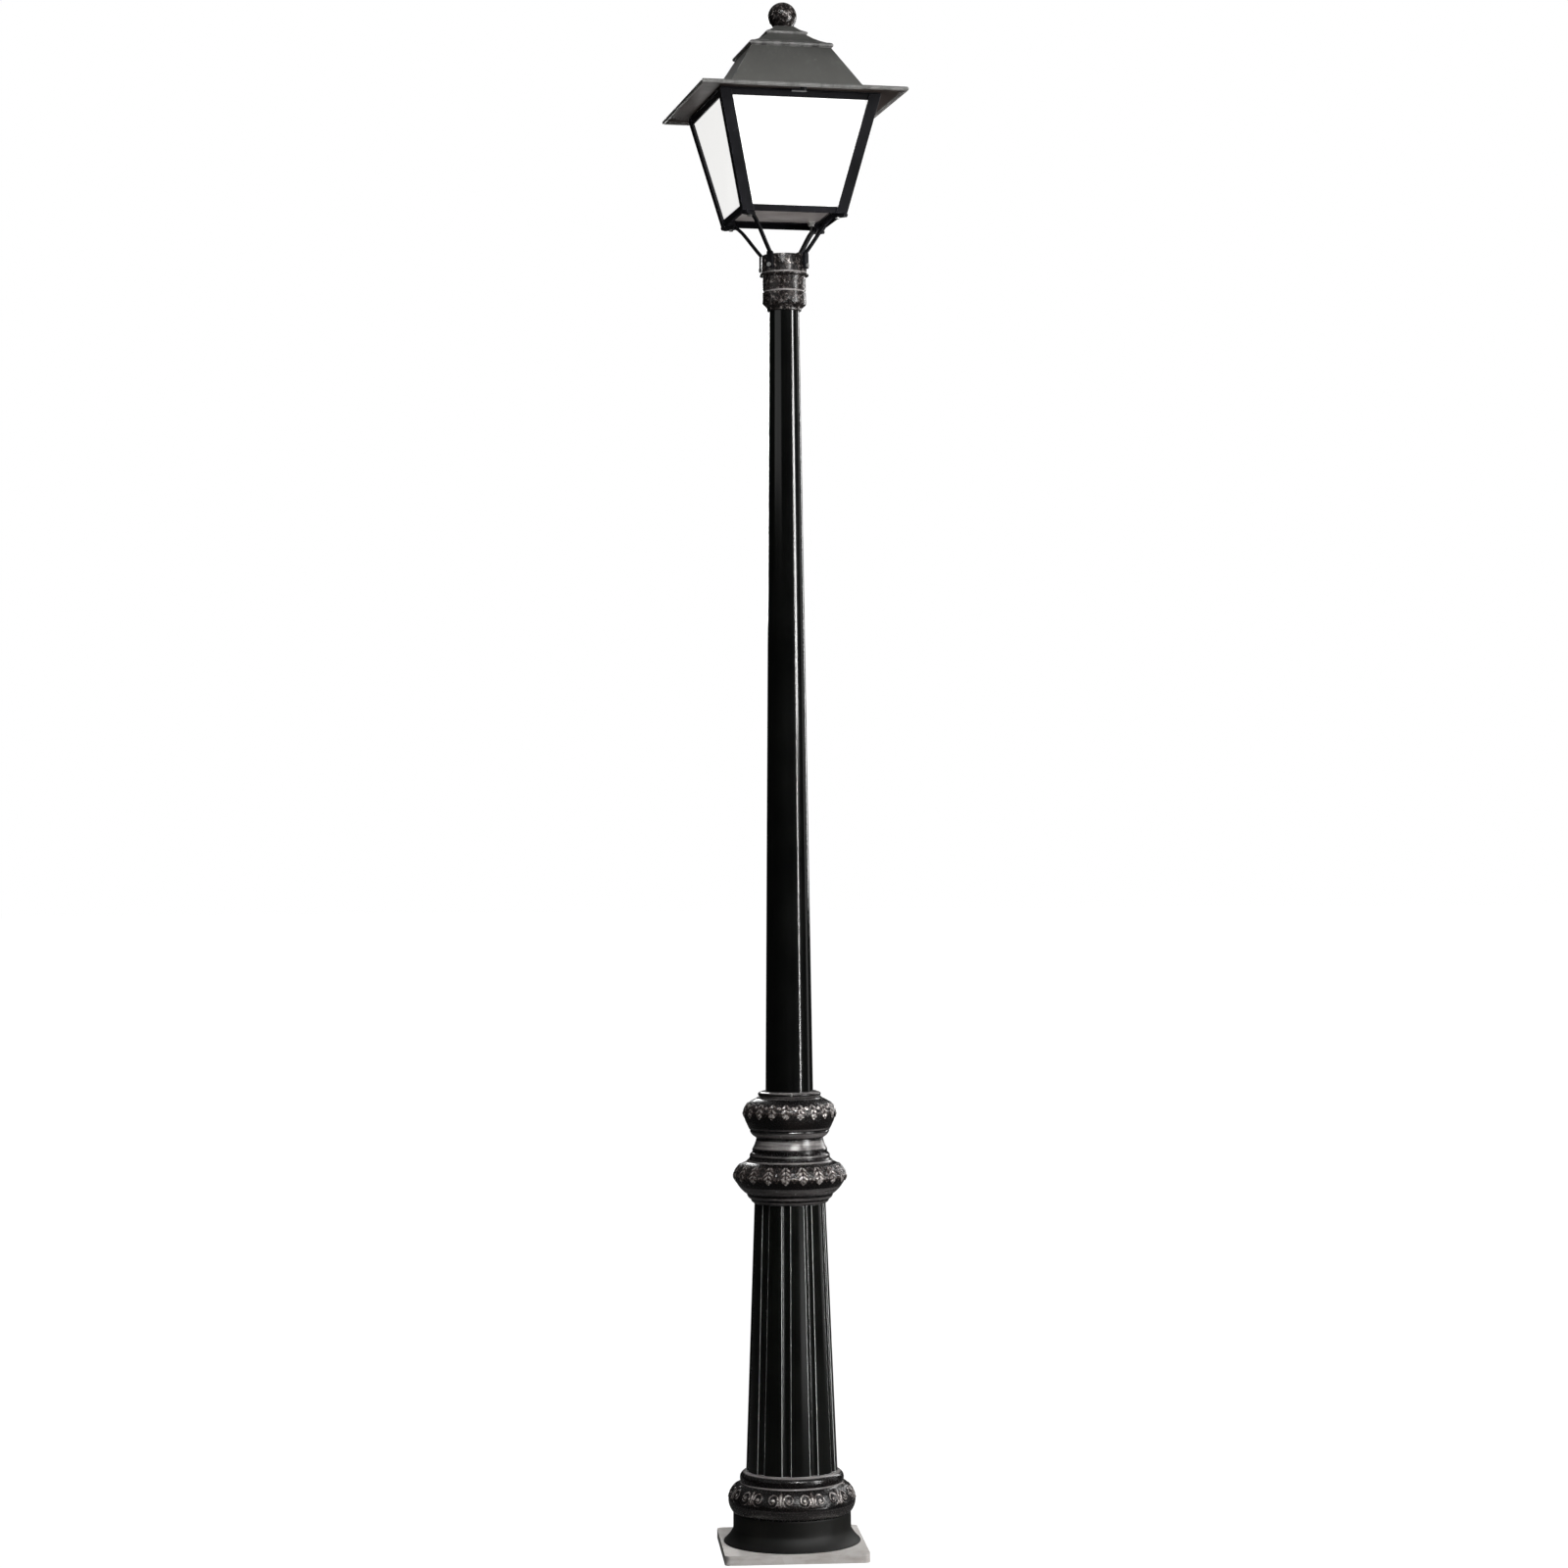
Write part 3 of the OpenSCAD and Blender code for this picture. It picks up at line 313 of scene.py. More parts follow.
def steel(name, tone, rough):
    """Plated or turned steel with fine scratches and dull patches."""
    s = Shader(name, Metallic=1.0)
    scratches = s.noise(1.0, 4.0, 0.7, place=s.stretched(900.0, 900.0, 120.0))
    patches = s.noise(55.0, 5.0)
    dull = tuple(0.62 * c for c in tone)
    s.to("Base Color", s.mix(s.spread(patches, 0.4, 0.75), tone, dull))
    s.to("Roughness", s.spread(scratches, 0.3, 0.75, rough - 0.08, rough + 0.14))
    s.bump([(scratches, 0.00003)])
    return s.material


def moulded(name, tone, rough):
    """Moulded plastic or rubber: fine texture, faint clouds."""
    s = Shader(name, Specular_IOR_Level=0.45)
    clouds = s.noise(40.0, 4.0)
    texture = s.noise(1100.0, 3.0)
    s.to("Base Color", s.mix(s.spread(clouds, 0.35, 0.7), tone, tuple(0.8 * c for c in tone)))
    s.to("Roughness", s.spread(clouds, 0.3, 0.75, rough - 0.07, rough + 0.08))
    s.bump([(texture, 0.00006)])
    return s.material


def lamp_glass(name):
    """The lamp's satin white envelope."""
    s = Shader(name, Subsurface_Weight=0.2, Emission_Strength=0.15, Emission_Color=(1.0, 0.98, 0.94, 1.0))
    clouds = s.spread(s.noise(25.0, 3.0), 0.3, 0.7)
    s.to("Base Color", s.mix(clouds, (0.93, 0.92, 0.9), (0.96, 0.96, 0.95)))
    s.to("Roughness", s.spread(s.noise(90.0, 3.0), 0.3, 0.7, 0.2, 0.32))
    return s.material


def column_paint(name):
    """Glossy black with a faint green cast, for the fluted column and the door cut from it."""
    return painted(
        name, (0.0012, 0.0014, 0.0013), (0.0055, 0.0062, 0.0052), 0.17, worn=(0.03, 0.03, 0.03),
        peel=0.00001, dusty=0.3,
    )


# One material for each of the record's slots
MATERIALS = {
    "zinc": galvanised("galvanised_zinc"),
    "pole_black": painted(
        "pole_paint", (0.0018, 0.002, 0.002), (0.0042, 0.0045, 0.0042), 0.13, worn=(0.03, 0.03, 0.03),
        peel=0.000004, dusty=0.2,
    ),
    "casting_black": antique_casting("casting_paint"),
    "frame_black": painted(
        "frame_paint", (0.0015, 0.0015, 0.0024), (0.005, 0.005, 0.0075), 0.42, worn=(0.05, 0.05, 0.06),
        specular=0.22,
    ),
    # The roof's paint has painted light: a painted sheen lighter at its foot, and painted shade on faces
    # that look down.
    "roof_black": painted(
        "roof_paint", (0.050, 0.050, 0.047), (0.074, 0.074, 0.069), 0.38, worn=(0.30, 0.29, 0.285),
        sheen_below=ROOF_Z + 0.02, down_shade=(0.050, 0.036, 0.031),
    ),
    "tray_metal": painted(
        "tray_paint", (0.60, 0.54, 0.52), (0.78, 0.73, 0.71), 0.3, worn=(0.8, 0.78, 0.76)
    ),
    "opal": opal_acrylic("opal_acrylic"),
    "seal_rubber": moulded("seal_rubber", (0.02, 0.02, 0.021), 0.7),
    "fastener_steel": steel("fastener_steel", (0.55, 0.55, 0.54), 0.35),
    "fitting_plastic": moulded("fitting_plastic", (0.66, 0.66, 0.63), 0.45),
    "lamp_opal": lamp_glass("lamp_glass"),
    "cap_metal": steel("cap_metal", (0.75, 0.74, 0.72), 0.3),
    "cable_black": moulded("cable_sheath", (0.025, 0.025, 0.026), 0.5),
    "reflector_white": painted(
        "reflector_paint", (0.80, 0.80, 0.78), (0.86, 0.86, 0.84), 0.3, worn=(0.7, 0.7, 0.69)
    ),
}

# Castings with relief, and the heights of the painted light bands, painted sheen and highlight lines, on
# their mouldings
RELIEF_PAINT = {
    "base_ring": antique_casting("ring_paint", relief=True, bands=[
        (RING_Z + 0.0025, RING_Z + 0.022, 0.06),
        (RING_Z + 0.0625, RING_Z + 0.065, 0.7),
        (RING_Z + 0.0845, RING_Z + 0.0875, 0.6),
    ]),
    "lower_knop": antique_casting("lower_knop_paint", relief=True, bands=[
        (KNOP_Z + 0.001, KNOP_Z + 0.006, 0.3),
        (KNOP_Z + 0.011, KNOP_Z + 0.016, 0.34),
        (KNOP_Z + 0.022, KNOP_Z + 0.037, 0.3),
        (KNOP_Z + 0.089, KNOP_Z + 0.0925, 0.4),
    ]),
    "upper_knop": antique_casting("upper_knop_paint", relief=True, bands=[
        (UPPER_Z + 0.003, UPPER_Z + 0.0125, 0.42),
        (UPPER_Z + 0.019, UPPER_Z + 0.022, 0.22),
        (UPPER_Z + 0.084, UPPER_Z + 0.0865, 0.12),
    ]),
}

# Nodes whose paint differs from the rest of their slot
OWN_PAINT = {
    # The neck, collar, adapter and cup carry bands of painted light: painted sheen and highlight lines at
    # set heights.
    "flared_neck": antique_casting("neck_paint", bands=[
        (NECK_Z + 0.0255, NECK_Z + 0.0425, 0.42),
        (NECK_Z + 0.0085, NECK_Z + 0.0125, 0.2),
    ]),
    "top_collar": antique_casting("collar_paint", bands=[
        (COLLAR_Z + 0.0088, COLLAR_Z + 0.0115, 0.5),
        (COLLAR_Z + 0.001, COLLAR_Z + 0.003, 0.45),
    ]),
    "neck_adapter": antique_casting("adapter_paint", rub=0.8, bands=[
        (ADAPTER_Z + 0.0395, ADAPTER_Z + 0.0425, 0.8),
    ]),
    "socket_cup": antique_casting("cup_paint", rub=0.8, bands=[(CUP_Z + 0.0045, CUP_Z + 0.0075, 0.9)]),
    "finial": antique_casting("finial_paint", rub=0.9),
    "roof_latch": painted(
        "latch_paint", (0.002, 0.002, 0.003), (0.006, 0.006, 0.008), 0.4, worn=(0.05, 0.05, 0.06)
    ),
    "fluted_column": column_paint("column_paint"),
    "service_door": column_paint("door_paint"),
    "base_foot": painted(
        "foot_paint", (0.002, 0.002, 0.0018), (0.009, 0.0088, 0.0075), 0.5, worn=(0.03, 0.027, 0.024),
        specular=0.28, dusty=0.6,
    ),
}


# ---------------------------------------------------------------- CAD nodes


def shading_group():
    """Geometry nodes that weld the CAD mesh's seams and shade it smooth, apart from its sharp edges."""
    group = bpy.data.node_groups.new("weld_and_shade", "GeometryNodeTree")
    group.interface.new_socket("Geometry", in_out="INPUT", socket_type="NodeSocketGeometry")
    group.interface.new_socket("Geometry", in_out="OUTPUT", socket_type="NodeSocketGeometry")
    nodes, links = group.nodes, group.links
    start = nodes.new("NodeGroupInput")
    weld = nodes.new("GeometryNodeMergeByDistance")
    weld.inputs["Distance"].default_value = WELD_DISTANCE
    angle = nodes.new("GeometryNodeInputMeshEdgeAngle")
    sharp = nodes.new("FunctionNodeCompare")
    sharp.data_type = "FLOAT"
    sharp.operation = "GREATER_THAN"
    sharp.inputs[1].default_value = SHARP_ANGLE
    shade = nodes.new("GeometryNodeSetMeshNormal")
    shade.mode = "SHARPNESS"
    shade.inputs["Remove Custom"].default_value = True
    shade.inputs["Face Sharpness"].default_value = False
    end = nodes.new("NodeGroupOutput")
    links.new(start.outputs[0], weld.inputs["Geometry"])
    links.new(weld.outputs["Geometry"], shade.inputs["Mesh"])
    links.new(angle.outputs["Unsigned Angle"], sharp.inputs[0])
    links.new(sharp.outputs[0], shade.inputs["Edge Sharpness"])
    links.new(shade.outputs["Mesh"], end.inputs[0])
    return group


SHADING = shading_group()

# Width of the rounded edges, in millimetres, for nodes whose edges catch the light
ROUNDED = {
    "base_plate": 1.6,
    "base_foot": 1.0,
    "fluted_column": 3.4,
    "service_door": 0.8,
    "flared_neck": 0.6,
    "neck_adapter": 0.5,
    "socket_cup": 0.7,
    "lower_frame": 0.4,
    "top_frame": 0.4,
    "roof_brim": 0.6,
    "roof_main": 1.0,
    "roof_crown": 0.8,
    "lamp_tray": 0.4,
    "roof_latch": 0.5,
    "door_lock": 0.4,
    "fuse_unit": 1.0,
}
ROUNDED.update({n: 0.5 for n in frame["nodes"] if n.startswith("corner_post")})
ROUNDED.update({n: 0.8 for n in frame["nodes"] if n.startswith("arm_") and n != "arm_screws"})
ROUNDED.update({n: 0.4 for n in frame["nodes"] if n.startswith("pane_") and n != "pane_seals"})


def edge_highlight(name, tone, rough, gaps=1.0):
    """Painted highlight on rounded edges: a bright colour that stands in for the light the edges catch, with
    duller stretches.
    """
    s = Shader(name, Specular_IOR_Level=0.5)
    # The noise picks the duller stretches of the painted highlight.
    worn = s.noise(1.0, 4.0, 0.6, place=s.stretched(40.0, 40.0, 16.0))
    dull = tuple(0.3 * c for c in tone)
    s.to("Base Color", s.mix(s.spread(worn, 0.42, 0.6, 0.0, gaps), tone, dull))
    s.to("Roughness", s.spread(s.noise(200.0, 3.0), 0.3, 0.7, rough, rough + 0.12))
    return s.material


# Painted highlight: bright edge colours that stand in for the light lines that rounded edges catch
EDGE_HIGHLIGHTS = {
    "fluted_column": edge_highlight("column_edge_highlights", (0.88, 0.90, 0.89), 0.3, gaps=0.2),
    "service_door": edge_highlight("door_edge_highlights", (0.20, 0.20, 0.20), 0.3),
    "roof": edge_highlight("roof_edge_highlights", (0.30, 0.295, 0.29), 0.35),
    "post": edge_highlight("post_edge_highlights", (0.06, 0.06, 0.075), 0.35),
    "plate": edge_highlight("plate_edge_highlights", (0.90, 0.88, 0.86), 0.4),
}
EDGE_HIGHLIGHT_OF = {"fluted_column": "fluted_column", "service_door": "service_door", "base_plate": "plate"}
EDGE_HIGHLIGHT_OF.update({n: "roof" for n in ("roof_brim", "roof_main", "roof_crown")})
EDGE_HIGHLIGHT_OF.update({n: "post" for n in frame["nodes"] if n.startswith("corner_post")})


def dress_cad_nodes():
    """Give every CAD node its material and smooth shading, and the listed nodes rounded edges, some of them
    painted bright as a painted highlight.
    """
    slots = {p["node"]: p["material_slot"] for p in frame["record"]["subparts"]}
    for name, obj in frame["nodes"].items():
        material = OWN_PAINT.get(name, MATERIALS[slots[name]])
        if not obj.material_slots:
            obj.data.materials.append(material)
        for slot in obj.material_slots:
            slot.material = material
        shade = obj.modifiers.new("weld_and_shade", "NODES")
        shade.node_group = SHADING
        if name in ROUNDED:
            bevel = obj.modifiers.new("rounded_edges", "BEVEL")
            bevel.width = ROUNDED[name] * MM
            bevel.segments = 2
            bevel.limit_method = "ANGLE"
            bevel.angle_limit = ROUNDED_ANGLE
            bevel.harden_normals = True
            # Painted highlight: the rounded edges of these nodes take a bright material in place of the
            # light they would catch
            if name in EDGE_HIGHLIGHT_OF:
                obj.data.materials.append(EDGE_HIGHLIGHTS[EDGE_HIGHLIGHT_OF[name]])
                bevel.material = len(obj.material_slots) - 1


# ---------------------------------------------------------------- cast relief


def bulge(p, q, swell, steps=24):
    """Points from p to q as (radius, height) in mm, swelling to the right of the way by swell."""
    p, q = np.array(p, float), np.array(q, float)
    d = q - p
    side = np.array([d[1], -d[0]]) / np.linalg.norm(d)
    t = np.linspace(0.0, 1.0, steps + 1)[:, None]
    return (p + d * t + side * (4 * swell * t * (1 - t))).tolist()


def resample(outline, step):
    """Outline in metres with points step apart, and its outward normals."""
    points = np.array(outline, float)
    lengths = np.concatenate([[0.0], np.cumsum(np.linalg.norm(np.diff(points, axis=0), axis=1))])
    count = max(2, round(lengths[-1] / step) + 1)
    at = np.linspace(0.0, lengths[-1], count)
    at = np.unique(np.concatenate([at, lengths]))
    curve = np.stack([np.interp(at, lengths, points[:, k]) for k in (0, 1)], axis=1)
    tangent = np.gradient(curve, axis=0)
    normal = np.stack([tangent[:, 1], -tangent[:, 0]], axis=1)
    normal /= np.maximum(np.linalg.norm(normal, axis=1), 1e-12)[:, None]
    return curve, normal


def ring_points(radius, level, angle):
    """Points on circles round the Z axis, from arrays of radius, level and angle."""
    return np.stack([radius * np.cos(angle), radius * np.sin(angle), level], axis=-1)


def quad_mesh(name, points, faces):
    """A mesh of four-sided faces from arrays of points and of point numbers."""
    mesh = bpy.data.meshes.new(name)
    mesh.vertices.add(len(points))
    mesh.vertices.foreach_set("co", points.astype(np.float32).ravel())
    mesh.loops.add(faces.size)
    mesh.loops.foreach_set("vertex_index", faces.astype(np.int32).ravel())
    mesh.polygons.add(len(faces))
    mesh.polygons.foreach_set("loop_start", (np.arange(len(faces)) * 4).astype(np.int32))
    mesh.update(calc_edges=True)
    mesh.validate()
    return mesh


def turned_relief(stands_for, z, outside, inside, relief, depth):
    """A casting turned from its outlines in mm, which stands for the CAD node of that name.

    relief(angle, height in mm) goes from 0 to 1, and raises the outside by up to depth.
    """
    name = stands_for + "_relief"
    outer, normal = resample([(r * MM, z + h * MM) for r, h in outside], ALONG)
    inner = np.array([(r * MM, z + h * MM) for r, h in inside])
    turn = np.linspace(0.0, 2 * math.pi, AROUND, endpoint=False)
    angle, height = np.meshgrid(turn, (outer[:, 1] - z) / MM)
    raised = np.clip(relief(angle, height), 0.0, 1.0)
    skin = ring_points(
        outer[:, :1] + normal[:, :1] * raised * depth,
        outer[:, 1:] + normal[:, 1:] * raised * depth,
        angle,
    )
    bore = ring_points(
        np.repeat(inner[:, :1], AROUND, axis=1),
        np.repeat(inner[:, 1:], AROUND, axis=1),
        angle[: len(inner)],
    )
    rows = np.concatenate([skin, bore])
    low = np.arange(len(rows))[:, None] * AROUND + np.arange(AROUND)[None, :]
    right = np.roll(low, -1, axis=1)
    up = np.roll(low, -1, axis=0)
    up_right = np.roll(up, -1, axis=1)
    faces = np.stack([low, right, up_right, up], axis=-1).reshape(-1, 4)
    mesh = quad_mesh(name, rows.reshape(-1, 3), faces)
    values = np.concatenate([raised, np.zeros((len(inner), AROUND))])
    shown = mesh.attributes.new("relief", "FLOAT", "POINT")
    shown.data.foreach_set("value", values.astype(np.float32).ravel())
    mesh.materials.append(RELIEF_PAINT[stands_for])
    mesh.set_sharp_from_angle(angle=RELIEF_SHARP_ANGLE)
    obj = bpy.data.objects.new(name, mesh)
    bpy.context.scene.collection.objects.link(obj)
    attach(obj, "post")
    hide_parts(stands_for)


def smooth(value, low, high):
    """0 below low, 1 above high and a soft step between."""
    t = np.clip((value - low) / (high - low), 0.0, 1.0)
    return t * t * (3 - 2 * t)


def between(h, low, high, rise, fall):
    """1 from low to high, fading in over rise and out over fall. Sizes in mm."""
    return smooth(h, low, low + rise) * smooth(-h, -high, -high + fall)


def down_from(h, stem, tip):
    """Share of the way down from a hanging leaf's stem, 0, to its tip, 1. Heights in mm."""
    return 1.0 - (h - tip) / (stem - tip)


def leaves(angle, v, count, turn=0.0, lobes=4, spread=0.46):
    """A row of lobed leaves round a casting: v is 0 at the stem and 1 at the tip."""
    u = (angle * count / (2 * math.pi) + turn) % 1.0 - 0.5
    t = np.clip(v, 0.0, 1.0)
    taper = np.sin(math.pi * np.power(t, 0.75)) ** 0.62
    notch = 0.78 + 0.22 * np.abs(np.cos(lobes * math.pi * (t - 0.35 * np.abs(u))))
    width = np.maximum(spread * taper * notch, 1e-4)
    across = np.abs(u) / width
    blade = np.sqrt(np.clip(1.0 - across**2, 0.0, 1.0)) ** 0.7
    vein = 0.16 * np.cos(2 * math.pi * lobes * (t - 0.8 * np.abs(u)))
    rib = 0.42 * np.exp(-((u / 0.04) ** 2)) * (1 - 0.5 * t)
    curl = 0.72 + 0.28 * smooth(t, 0.45, 0.95)
    height = blade * (curl + vein) - rib * blade
    return np.where((v > 0) & (v < 1), np.clip(height, 0.0, 1.0), 0.0)


def beads(angle, h, count, centre, radius_share, size, turn=0.0):
    """A row of half-round beads at height centre, size mm in radius and radius_share of a bead's space."""
    u = ((angle * count / (2 * math.pi) + turn) % 1.0 - 0.5) / radius_share
    w = (h - centre) / size
    return np.sqrt(np.clip(1.0 - u**2 - w**2, 0.0, 1.0))


def scrolls(angle, h, count, centre, reach, around):
    """Pairs of facing scrolls with a leaf between them. Sizes in mm."""
    cell = around / count
    u = ((angle * count / (2 * math.pi)) % 1.0 - 0.5) * cell
    v = h - centre
    made = np.zeros_like(u)
    for side in (-1, 1):
        x = u - side * 0.255 * cell
        r = np.hypot(x, v)
        turn = np.arctan2(v, side * x)
        wave = np.cos(turn - 2 * math.pi * r / (reach * 0.52))
        arm = smooth(wave, -0.25, 0.75) * smooth(-r, -reach, -reach * 0.8)
        eye = np.sqrt(np.clip(1 - (r / (reach * 0.26)) ** 2, 0, 1))
        made = np.maximum(made, np.maximum(arm * (0.65 + 0.2 * np.clip(r / reach, 0, 1)), eye))
    tilt = np.abs(u) / (0.19 * cell)
    frond = np.sqrt(np.clip(1 - tilt**2 - (v / (reach * 1.12)) ** 2, 0, 1))
    fan = 0.8 + 0.2 * np.cos(9 * np.arctan2(u, v + reach * 1.3) * 2.2)
    return np.maximum(made, frond * fan)


def pebbles(angle, h, around, size):
    """A chased, pebbly ground between the leaves. Sizes in mm."""
    n = round(around / size)
    a = angle * n
    b = 2 * math.pi * h / size
    return 0.5 + 0.25 * np.cos(a + 1.3 * np.sin(b * 0.5)) + 0.25 * np.cos(b + 1.1 * np.sin(a * 0.5))


def ring_relief(a, h):
    """Scrolls with fronds between them, on a pebbled ground."""
    around = 2 * math.pi * 128.0
    field = between(h, 26.5, 60.5, rise=2.0, fall=2.5)
    ground = 0.18 * pebbles(a, h, around, size=3.4)
    return field * np.maximum(scrolls(a, h, 12, centre=42.5, reach=15.5, around=around), ground)


def lower_relief(a, h):
    """Two rows of hanging leaves, one behind the other."""
    around = 2 * math.pi * 116.0
    field = between(h, 42.0, 88.0, rise=2.0, fall=4.0)
    ground = 0.16 * pebbles(a, h, around, size=3.0)
    front = leaves(a, down_from(h, stem=82.0, tip=48.0), 20)
    back = 0.66 * leaves(a, down_from(h, stem=83.0, tip=52.0), 20, turn=0.5, lobes=3)
    return field * np.maximum.reduce([front, back, ground])


def upper_relief(a, h):
    """Smaller hanging leaves with a bead between each two stems."""
    around = 2 * math.pi * 95.0
    field = between(h, 31.0, 80.0, rise=3.0, fall=4.0)
    ground = 0.2 * pebbles(a, h, around, size=2.8)
    front = leaves(a, down_from(h, stem=74.0, tip=44.0), 20, lobes=3)
    back = 0.6 * leaves(a, down_from(h, stem=76.0, tip=50.0), 20, turn=0.5, lobes=3)
    row = 0.95 * beads(a, h, 20, centre=67.0, radius_share=0.22, size=4.4, turn=0.5)
    return field * np.maximum.reduce([front, back, row, ground])


def cast_covers():
    """The three castings with relief, on the outlines of their CAD nodes."""
    turned_relief(
        "base_ring",
        RING_Z,
        outside=[(124.5, 0)] + bulge((126.5, 1), (135.8, 25), 2.2) + bulge((135.6, 26.5), (110, 63), 5)
        + bulge((109.6, 64.5), (100, 87), 5.5),
        inside=[(82, 87), (82, 70), (116, 40), (116, 0)],
        relief=ring_relief,
        depth=3.0 * MM,
    )
    turned_relief(
        "lower_knop",
        KNOP_Z,
        outside=[(77.5, 0)] + bulge((78, 0.8), (83.5, 8), 1.2) + bulge((84.5, 9), (92, 20), 1.8)
        + bulge((95.5, 22), (119.3, 57), 3.4) + bulge((119.3, 59), (93, 88.5), 5) + [(90.5, 92)],
        inside=[(54.5, 92), (54.5, 8), (60, 0)],
        relief=lower_relief,
        depth=3.2 * MM,
    )
    turned_relief(
        "upper_knop",
        UPPER_Z,
        outside=[(72, 0)] + bulge((73, 1.5), (84.8, 14), 1.6) + [(83.6, 16.5)]
        + bulge((86, 18.5), (97.8, 50), 1.2) + bulge((97.8, 54), (71, 84), 5.5) + [(68, 87)],
        inside=[(53, 87), (53, 0)],
        relief=upper_relief,
        depth=2.8 * MM,
    )


# ---------------------------------------------------------------- floor, light and camera


def add_floor():
    """A plain floor that the camera sees as white and that throws little light back."""
    mesh = bpy.data.meshes.new("floor")
    corners = [(x * FLOOR_SIZE, y * FLOOR_SIZE, 0.0) for x, y in ((-1, -1), (1, -1), (1, 1), (-1, 1))]
    mesh.from_pydata(corners, [], [(0, 1, 2, 3)])
    floor = bpy.data.objects.new("floor", mesh)
    bpy.context.scene.collection.objects.link(floor)
    s = Shader(
        "floor_white", Base_Color=(0.1, 0.1, 0.1, 1.0), Roughness=0.9, Specular_IOR_Level=0.0,
        Emission_Color=(1.0, 1.0, 1.0, 1.0),
    )
    path = s.tree.nodes.new("ShaderNodeLightPath")
    s.to("Emission Strength", path.outputs["Is Camera Ray"])
    mesh.materials.append(s.material)


def add_world():
    """White to the camera; as light, dim at eye level and brighter overhead."""
    world = bpy.data.worlds.new("studio")
    bpy.context.scene.world = world
    world.use_nodes = True
    tree = world.node_tree
    tree.nodes.clear()
    link = tree.links.new
    place = tree.nodes.new("ShaderNodeTexCoord")
    split = tree.nodes.new("ShaderNodeSeparateXYZ")
    link(place.outputs["Generated"], split.inputs[0])
    rise = tree.nodes.new("ShaderNodeMapRange")
    rise.inputs["From Min"].default_value = 0.15
    rise.inputs["From Max"].default_value = 0.9
    rise.inputs["To Min"].default_value = EYE_LEVEL_LIGHT
    rise.inputs["To Max"].default_value = OVERHEAD_LIGHT
    link(split.outputs["Z"], rise.inputs["Value"])
    light = tree.nodes.new("ShaderNodeBackground")
    link(rise.outputs["Result"], light.inputs["Strength"])
    seen = tree.nodes.new("ShaderNodeBackground")
    seen.inputs["Strength"].default_value = 1.0
    for node in (light, seen):
        node.inputs["Color"].default_value = (1.0, 1.0, 1.0, 1.0)
    path = tree.nodes.new("ShaderNodeLightPath")
    mix = tree.nodes.new("ShaderNodeMixShader")
    link(path.outputs["Is Camera Ray"], mix.inputs["Fac"])
    link(light.outputs[0], mix.inputs[1])
    link(seen.outputs[0], mix.inputs[2])
    out = tree.nodes.new("ShaderNodeOutputWorld")
    link(mix.outputs[0], out.inputs["Surface"])


def softbox(name, azimuth, distance, height, size, power, target, spread=180.0):
    """Area light at an azimuth from the camera's own, anticlockwise from above.

    It is aimed at the post's axis at the height target. A spread below 180 degrees narrows its beam.
    """
    light = bpy.data.lights.new(name, "AREA")
    light.shape = "RECTANGLE"
    light.size, light.size_y = size
    light.energy = power
    light.spread = math.radians(spread)
    obj = bpy.data.objects.new(name, light)
    bpy.context.scene.collection.objects.link(obj)
    a = CAMERA_AZIMUTH + math.radians(azimuth)
    obj.location = (math.sin(a) * distance, -math.cos(a) * distance, height)
    aim = Vector((0.0, 0.0, target)) - obj.location
    obj.rotation_mode = "QUATERNION"
    obj.rotation_quaternion = aim.to_track_quat("-Z", "Y")
    obj.visible_camera = False


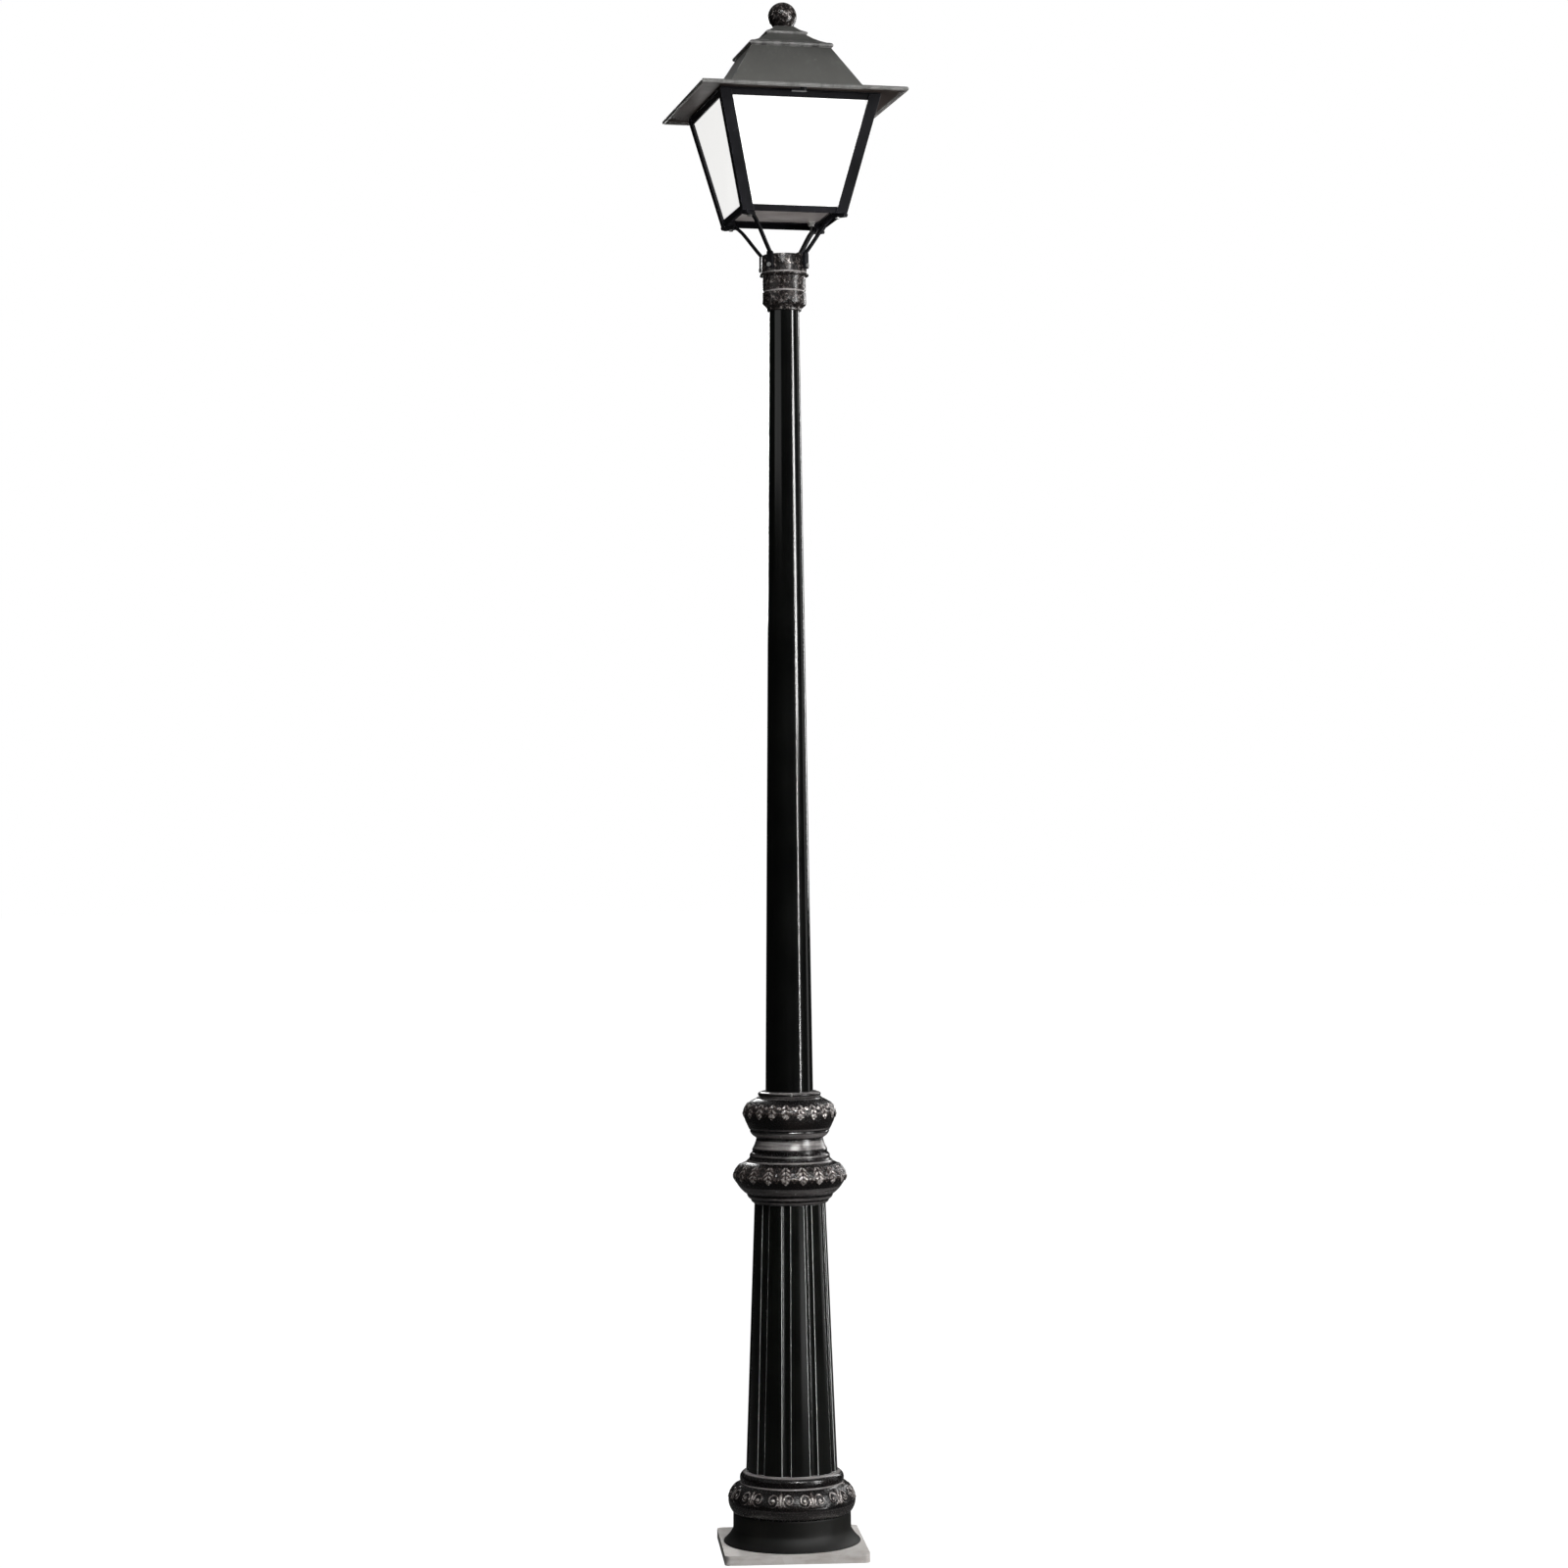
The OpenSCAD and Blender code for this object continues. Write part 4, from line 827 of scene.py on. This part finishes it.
def add_lights():
    """Strips and panels round the post; the two narrow beams light the roof and the knops."""
    softbox(
        "key_strip", azimuth=58.0, distance=3.6, height=1.5, size=(0.06, 3.0), power=60.0, target=1.3
    )
    softbox(
        "key_high", azimuth=66.0, distance=3.6, height=2.7, size=(0.34, 1.5), power=60.0, target=2.6
    )
    softbox(
        "right_dim", azimuth=112.0, distance=4.0, height=1.9, size=(0.9, 3.8), power=8.0, target=1.9
    )
    softbox(
        "key_fill", azimuth=30.0, distance=4.6, height=4.8, size=(0.9, 0.6), power=60.0, target=2.6
    )
    softbox(
        "left_dim", azimuth=-52.0, distance=4.0, height=3.2, size=(3.8, 0.9), power=8.0, target=2.6
    )
    softbox(
        "roof_light", azimuth=-6.0, distance=4.6, height=6.4, size=(0.6, 0.4), power=2.0, target=3.15,
        spread=24.0,
    )
    softbox(
        "knop_light", azimuth=12.0, distance=4.2, height=4.6, size=(0.5, 0.3), power=3.0, target=0.75,
        spread=26.0,
    )
    softbox(
        "floor_glow", azimuth=38.0, distance=3.6, height=0.28, size=(1.2, 0.5), power=2.6, target=0.5
    )
    softbox(
        "low_front", azimuth=4.0, distance=3.2, height=0.25, size=(1.4, 0.3), power=4.2, target=2.8,
        spread=60.0,
    )
    softbox(
        "back_left", azimuth=-168.0, distance=4.0, height=3.2, size=(0.5, 2.0), power=40.0, target=2.0
    )
    softbox(
        "back_right", azimuth=142.0, distance=4.0, height=2.6, size=(0.3, 2.6), power=36.0, target=1.8
    )


def add_camera():
    """The camera, level apart from its small roll, with its lens shifted up to frame the post."""
    data = bpy.data.cameras.new("camera")
    data.lens = CAMERA_LENS
    data.sensor_width = CAMERA_SENSOR
    data.shift_x, data.shift_y = CAMERA_SHIFT
    camera = bpy.data.objects.new("camera", data)
    bpy.context.scene.collection.objects.link(camera)
    back = Vector((math.sin(CAMERA_AZIMUTH), -math.cos(CAMERA_AZIMUTH), 0.0))
    facing = (-back).to_track_quat("-Z", "Y").to_matrix()
    roll = Matrix.Rotation(-CAMERA_ROLL, 3, "Z")
    place = back * CAMERA_DISTANCE + Vector((0.0, 0.0, CAMERA_HEIGHT))
    camera.matrix_world = Matrix.Translation(place) @ (facing @ roll).to_4x4()
    bpy.context.scene.camera = camera


dress_cad_nodes()
cast_covers()
add_floor()
add_world()
add_lights()
add_camera()

scene = bpy.context.scene
scene.view_settings.view_transform = "Standard"
scene.view_settings.look = "None"
